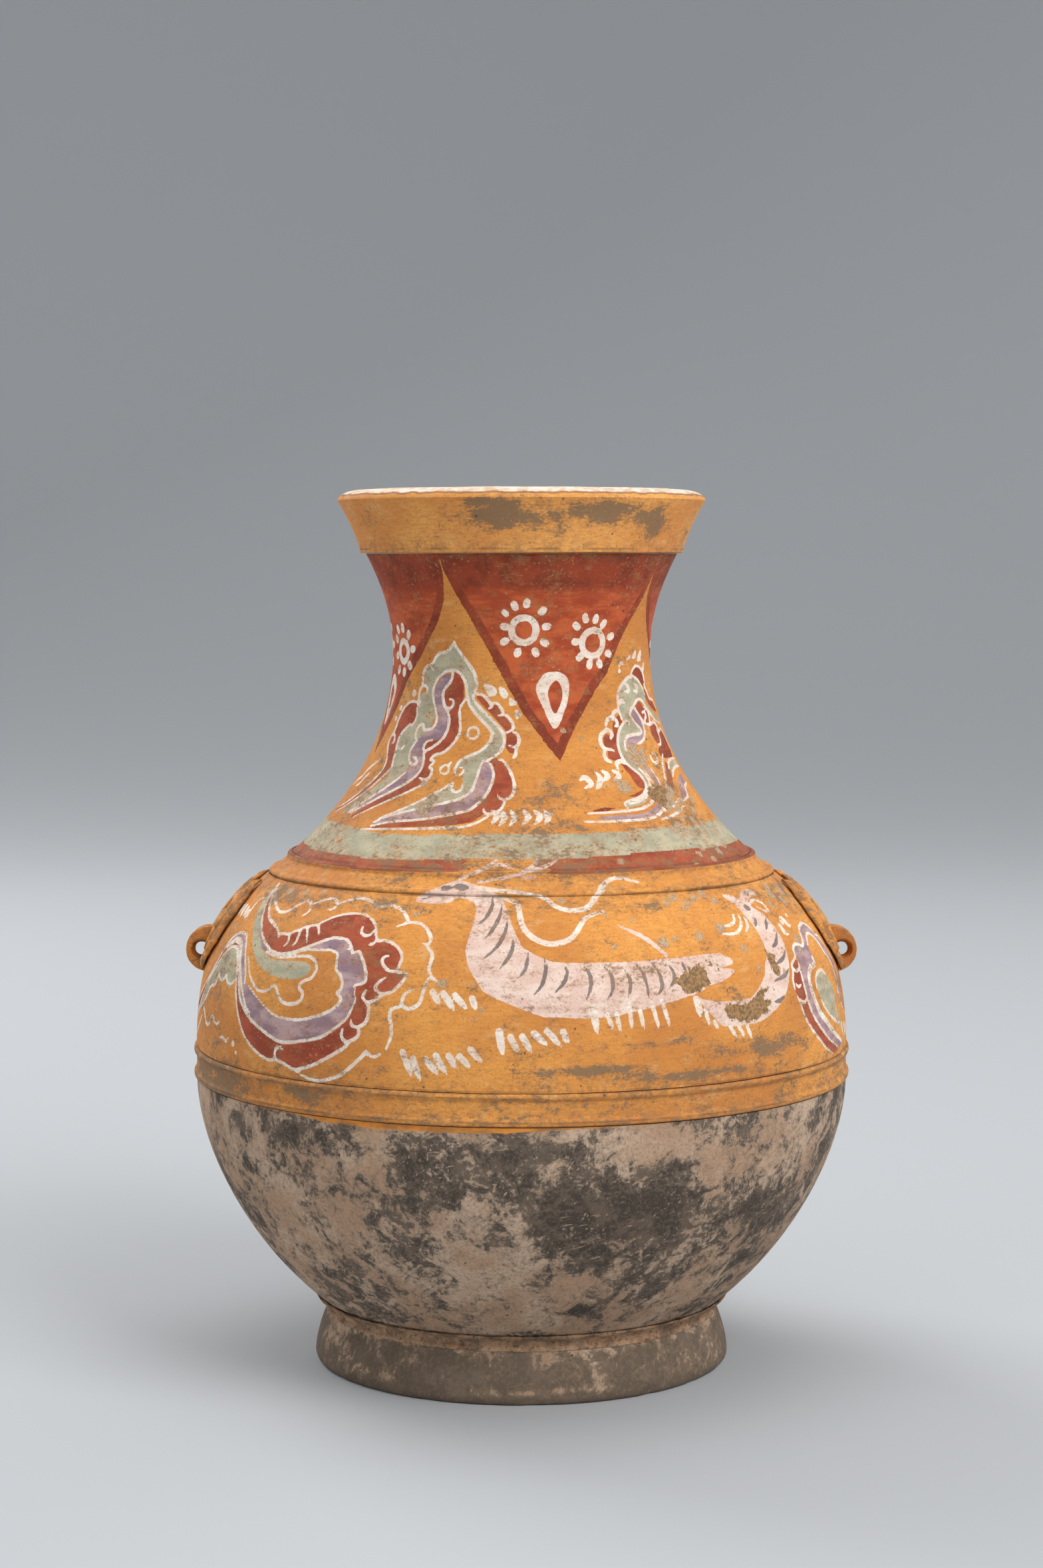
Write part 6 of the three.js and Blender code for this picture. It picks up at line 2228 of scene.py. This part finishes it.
    def plate(self, dome: np.ndarray) -> bpy.types.Object:
        """Presses the mask out of a grid and beds it on the dome.

        Args:
            dome: Radius and height of the dome's outer face.

        Returns:
            The mask.
        """
        deselect()
        bpy.ops.mesh.primitive_grid_add(x_subdivisions=self.columns, y_subdivisions=self.rows, size=2 * MM)
        piece = bpy.context.object
        piece.name = piece.data.name = "mask_right_look"
        grid = coordinates(piece)
        across, share = grid[:, 0], (grid[:, 1] + 1) / 2
        up = share * self.crown(np.abs(across) * self.widths[-1])
        half = np.interp(up, self.widths[::2], self.widths[1::2])
        half -= self.waist_depth * np.exp(-((up - self.waist[0]) / self.waist[1]) ** 2)
        side = np.abs(across) * half
        rim = np.minimum((1 - np.abs(across)) * half, np.minimum(share, 1 - share) * self.tall)
        relief = self.relief(side, up)
        rounded = self.plate_rise - self.rim_drop * np.clip(1 - rim / self.rim_width, 0, 1) ** 2
        rise = rounded + relief * np.clip(rim / self.relief_fade, 0, 1)
        slope = np.gradient(dome[:, 0], dome[:, 1])
        height = self.low + up
        radius = np.interp(height, dome[:, 1], dome[:, 0])
        lean = np.interp(height, dome[:, 1], slope)
        normal = np.hypot(1, lean)
        out, lift = radius + rise / normal, height - rise * lean / normal
        turn = across * half / radius
        reshape(piece, np.column_stack((out * np.cos(turn), out * np.sin(turn), lift)))
        hollow = piece.data.attributes.new(Pigment.HOLLOW.value, "FLOAT", "POINT")
        hollow.data.foreach_set("value", relief.astype(np.float32))
        apply(piece, "SOLIDIFY", thickness=1.7 * MM, offset=-1.0, use_rim=True)
        apply(piece, "SMOOTH", factor=0.4, iterations=2)
        roughen(piece, 4, 0.3, 2)
        tidy(piece, 60)
        return piece

    def lug(self, dome: np.ndarray) -> bpy.types.Object:
        """Models the lug: a thick loop of clay, pierced from side to side.

        Args:
            dome: Radius and height of the dome's outer face.

        Returns:
            The lug.
        """
        wall = float(np.interp(self.lug_height, dome[:, 1], dome[:, 0]))
        deselect()
        bpy.ops.mesh.primitive_cylinder_add(
            vertices=72, radius=1, depth=self.lug_width * MM,
            location=(wall * MM, 0, self.lug_height * MM), rotation=(math.pi / 2, 0, 0))
        piece = bpy.context.object
        piece.name = piece.data.name = "lug_right_look"
        piece.scale = ((self.lug_reach - wall) * MM, self.lug_half_height * MM, 1)
        bpy.ops.object.transform_apply(location=True, rotation=True, scale=True)
        bpy.ops.object.mode_set(mode="EDIT")
        bpy.ops.mesh.select_all(action="SELECT")
        bpy.ops.mesh.bisect(plane_co=((wall - self.lug_root) * MM, 0, 0), plane_no=(1, 0, 0), use_fill=True,
                            clear_inner=True)
        bpy.ops.object.mode_set(mode="OBJECT")
        apply(piece, "BEVEL", width=3.6 * MM, segments=5, limit_method="ANGLE")
        (out, along), (mouth, throat) = self.hole_place, self.hole_radii
        for side in (1, -1):
            deselect()
            bpy.ops.mesh.primitive_cone_add(
                vertices=48, radius1=mouth * MM, radius2=throat * MM, depth=self.hole_depth * MM,
                location=(out * MM, side * along * MM, self.lug_height * MM),
                rotation=(side * math.pi / 2, 0, 0))
            cutter = bpy.context.object
            apply(piece, "BOOLEAN", object=cutter, operation="DIFFERENCE", solver="EXACT")
            bpy.data.objects.remove(cutter)
        apply(piece, "REMESH", mode="VOXEL", voxel_size=0.55 * MM)
        apply(piece, "SMOOTH", factor=0.5, iterations=6)
        roughen(piece, 9, 0.9, 2)
        tidy(piece, 60)
        return piece

    def build(self, shared: SharedEffects, dome: np.ndarray) -> None:
        """Makes and dresses both masks and both lugs.

        Args:
            shared: The effects that every finish uses.
            dome: Radius and height of the dome's outer face.
        """
        mask_slip = PaintedSlip("mask_slip", staining=0.9, crusting=0.35, cavities=True).build(shared)
        lug_slip = PaintedSlip("lug_slip", staining=0.7, light=Tint.LUG_OCHRE, dark=Tint.DARK_LUG_OCHRE)
        for piece, slip in ((self.plate(dome), mask_slip), (self.lug(dome), lug_slip.build(shared))):
            choose(piece)
            bpy.ops.object.duplicate()
            other = bpy.context.object
            other.name = other.data.name = piece.name.replace("right", "left")
            other.rotation_euler = (0, 0, math.pi)
            bpy.ops.object.transform_apply(location=True, rotation=True, scale=True)
            for side in (piece, other):
                finish(side, slip)


@dataclass
class Studio:
    """A pale floor, soft lamps and the camera.

    Attributes:
        focal_pixels: The lens, in pixels of the 1568 by 2357 picture.
        picture_height: Height of that picture in pixels.
        camera_place: Where the camera stands, in metres.
        camera_pitch: How many degrees it looks down.
        sensor: Width of its sensor in millimetres.
        floor_reach: Radius of the flat floor in metres.
        wall_height: Height of the wall in metres.
        bend: Radius of the bend between them, in metres.
    """

    focal_pixels: float = 4600
    picture_height: float = 2357
    camera_place: tuple[float, float, float] = (0, -1.582, 0.4126)
    camera_pitch: float = 4.13
    sensor: float = 36
    floor_reach: float = 2.6
    wall_height: float = 4.2
    bend: float = 2.0

    def floor(self) -> None:
        """Lays a round pale floor that curves up into a wall all round."""
        flat, bend, tall = self.floor_reach / MM, self.bend / MM, self.wall_height / MM
        stage = throw("pale_floor", [
            Pull((0, 0), (flat, 0), 8),
            Pull((flat, 0), (flat + bend, bend), 24, 0, 90, 0.552),
            Pull((flat + bend, bend), (flat + bend, tall), 4),
        ], 128)
        choose(stage)
        bpy.ops.object.shade_smooth()
        material = bpy.data.materials.new("pale_floor_paper")
        material.use_nodes = True
        surface = material.node_tree.nodes["Principled BSDF"]
        surface.inputs["Base Color"].default_value = Tint.FLOOR
        surface.inputs["Roughness"].default_value = 0.9
        surface.inputs["Specular IOR Level"].default_value = 0.1
        stage.data.materials.append(material)

    def lamp(self, name: str, place: tuple[float, float, float], size: float, power: float) -> None:
        """Hangs a square soft lamp that faces the vase.

        Args:
            name: Its name.
            place: Where it hangs, in metres.
            size: Its side in metres.
            power: Its power in watts.
        """
        deselect()
        bpy.ops.object.light_add(type="AREA", location=place)
        lamp = bpy.context.object
        lamp.name = name
        lamp.data.energy = power
        lamp.data.size = size
        target = Vector((0, 0, 0.24))
        lamp.rotation_euler = (target - Vector(place)).to_track_quat("-Z", "Y").to_euler()

    def build(self) -> None:
        """Sets the floor, the lamps, the sky and the camera."""
        self.floor()
        self.lamp("key", (1.7, -1.9, 2.1), 1.8, 74)
        self.lamp("fill", (-2.3, -1.8, 1.3), 2.0, 15)
        self.lamp("back_key", (-1.7, 1.9, 2.1), 1.8, 58)
        self.lamp("back_fill", (2.3, 1.8, 1.3), 2.0, 17)
        self.lamp("top", (0, 0, 3.4), 2.4, 34)
        world = bpy.data.worlds.new("pale_room")
        world.use_nodes = True
        sky = world.node_tree.nodes["Background"]
        sky.inputs["Color"].default_value = (1, 1, 1, 1)
        sky.inputs["Strength"].default_value = 0.4
        bpy.context.scene.world = world
        deselect()
        tilt = math.radians(90 - self.camera_pitch)
        bpy.ops.object.camera_add(location=self.camera_place, rotation=(tilt, 0, 0))
        camera = bpy.context.object
        camera.data.sensor_width = self.sensor
        camera.data.lens = self.focal_pixels / self.picture_height * self.sensor
        bpy.context.scene.camera = camera
        bpy.context.scene.view_settings.view_transform = "Standard"


def main() -> None:
    """Builds the vase piece by piece, then the studio round it."""
    logging.basicConfig(level=logging.INFO, format="%(name)s: %(message)s")
    shared = SharedEffects()
    Base().build(shared)
    body = Body()
    body.build(shared)
    Mouth().build(shared)
    Mask().build(shared, body.dome_outside().points(200))
    Studio().build()


if __name__ == "__main__":
    main()
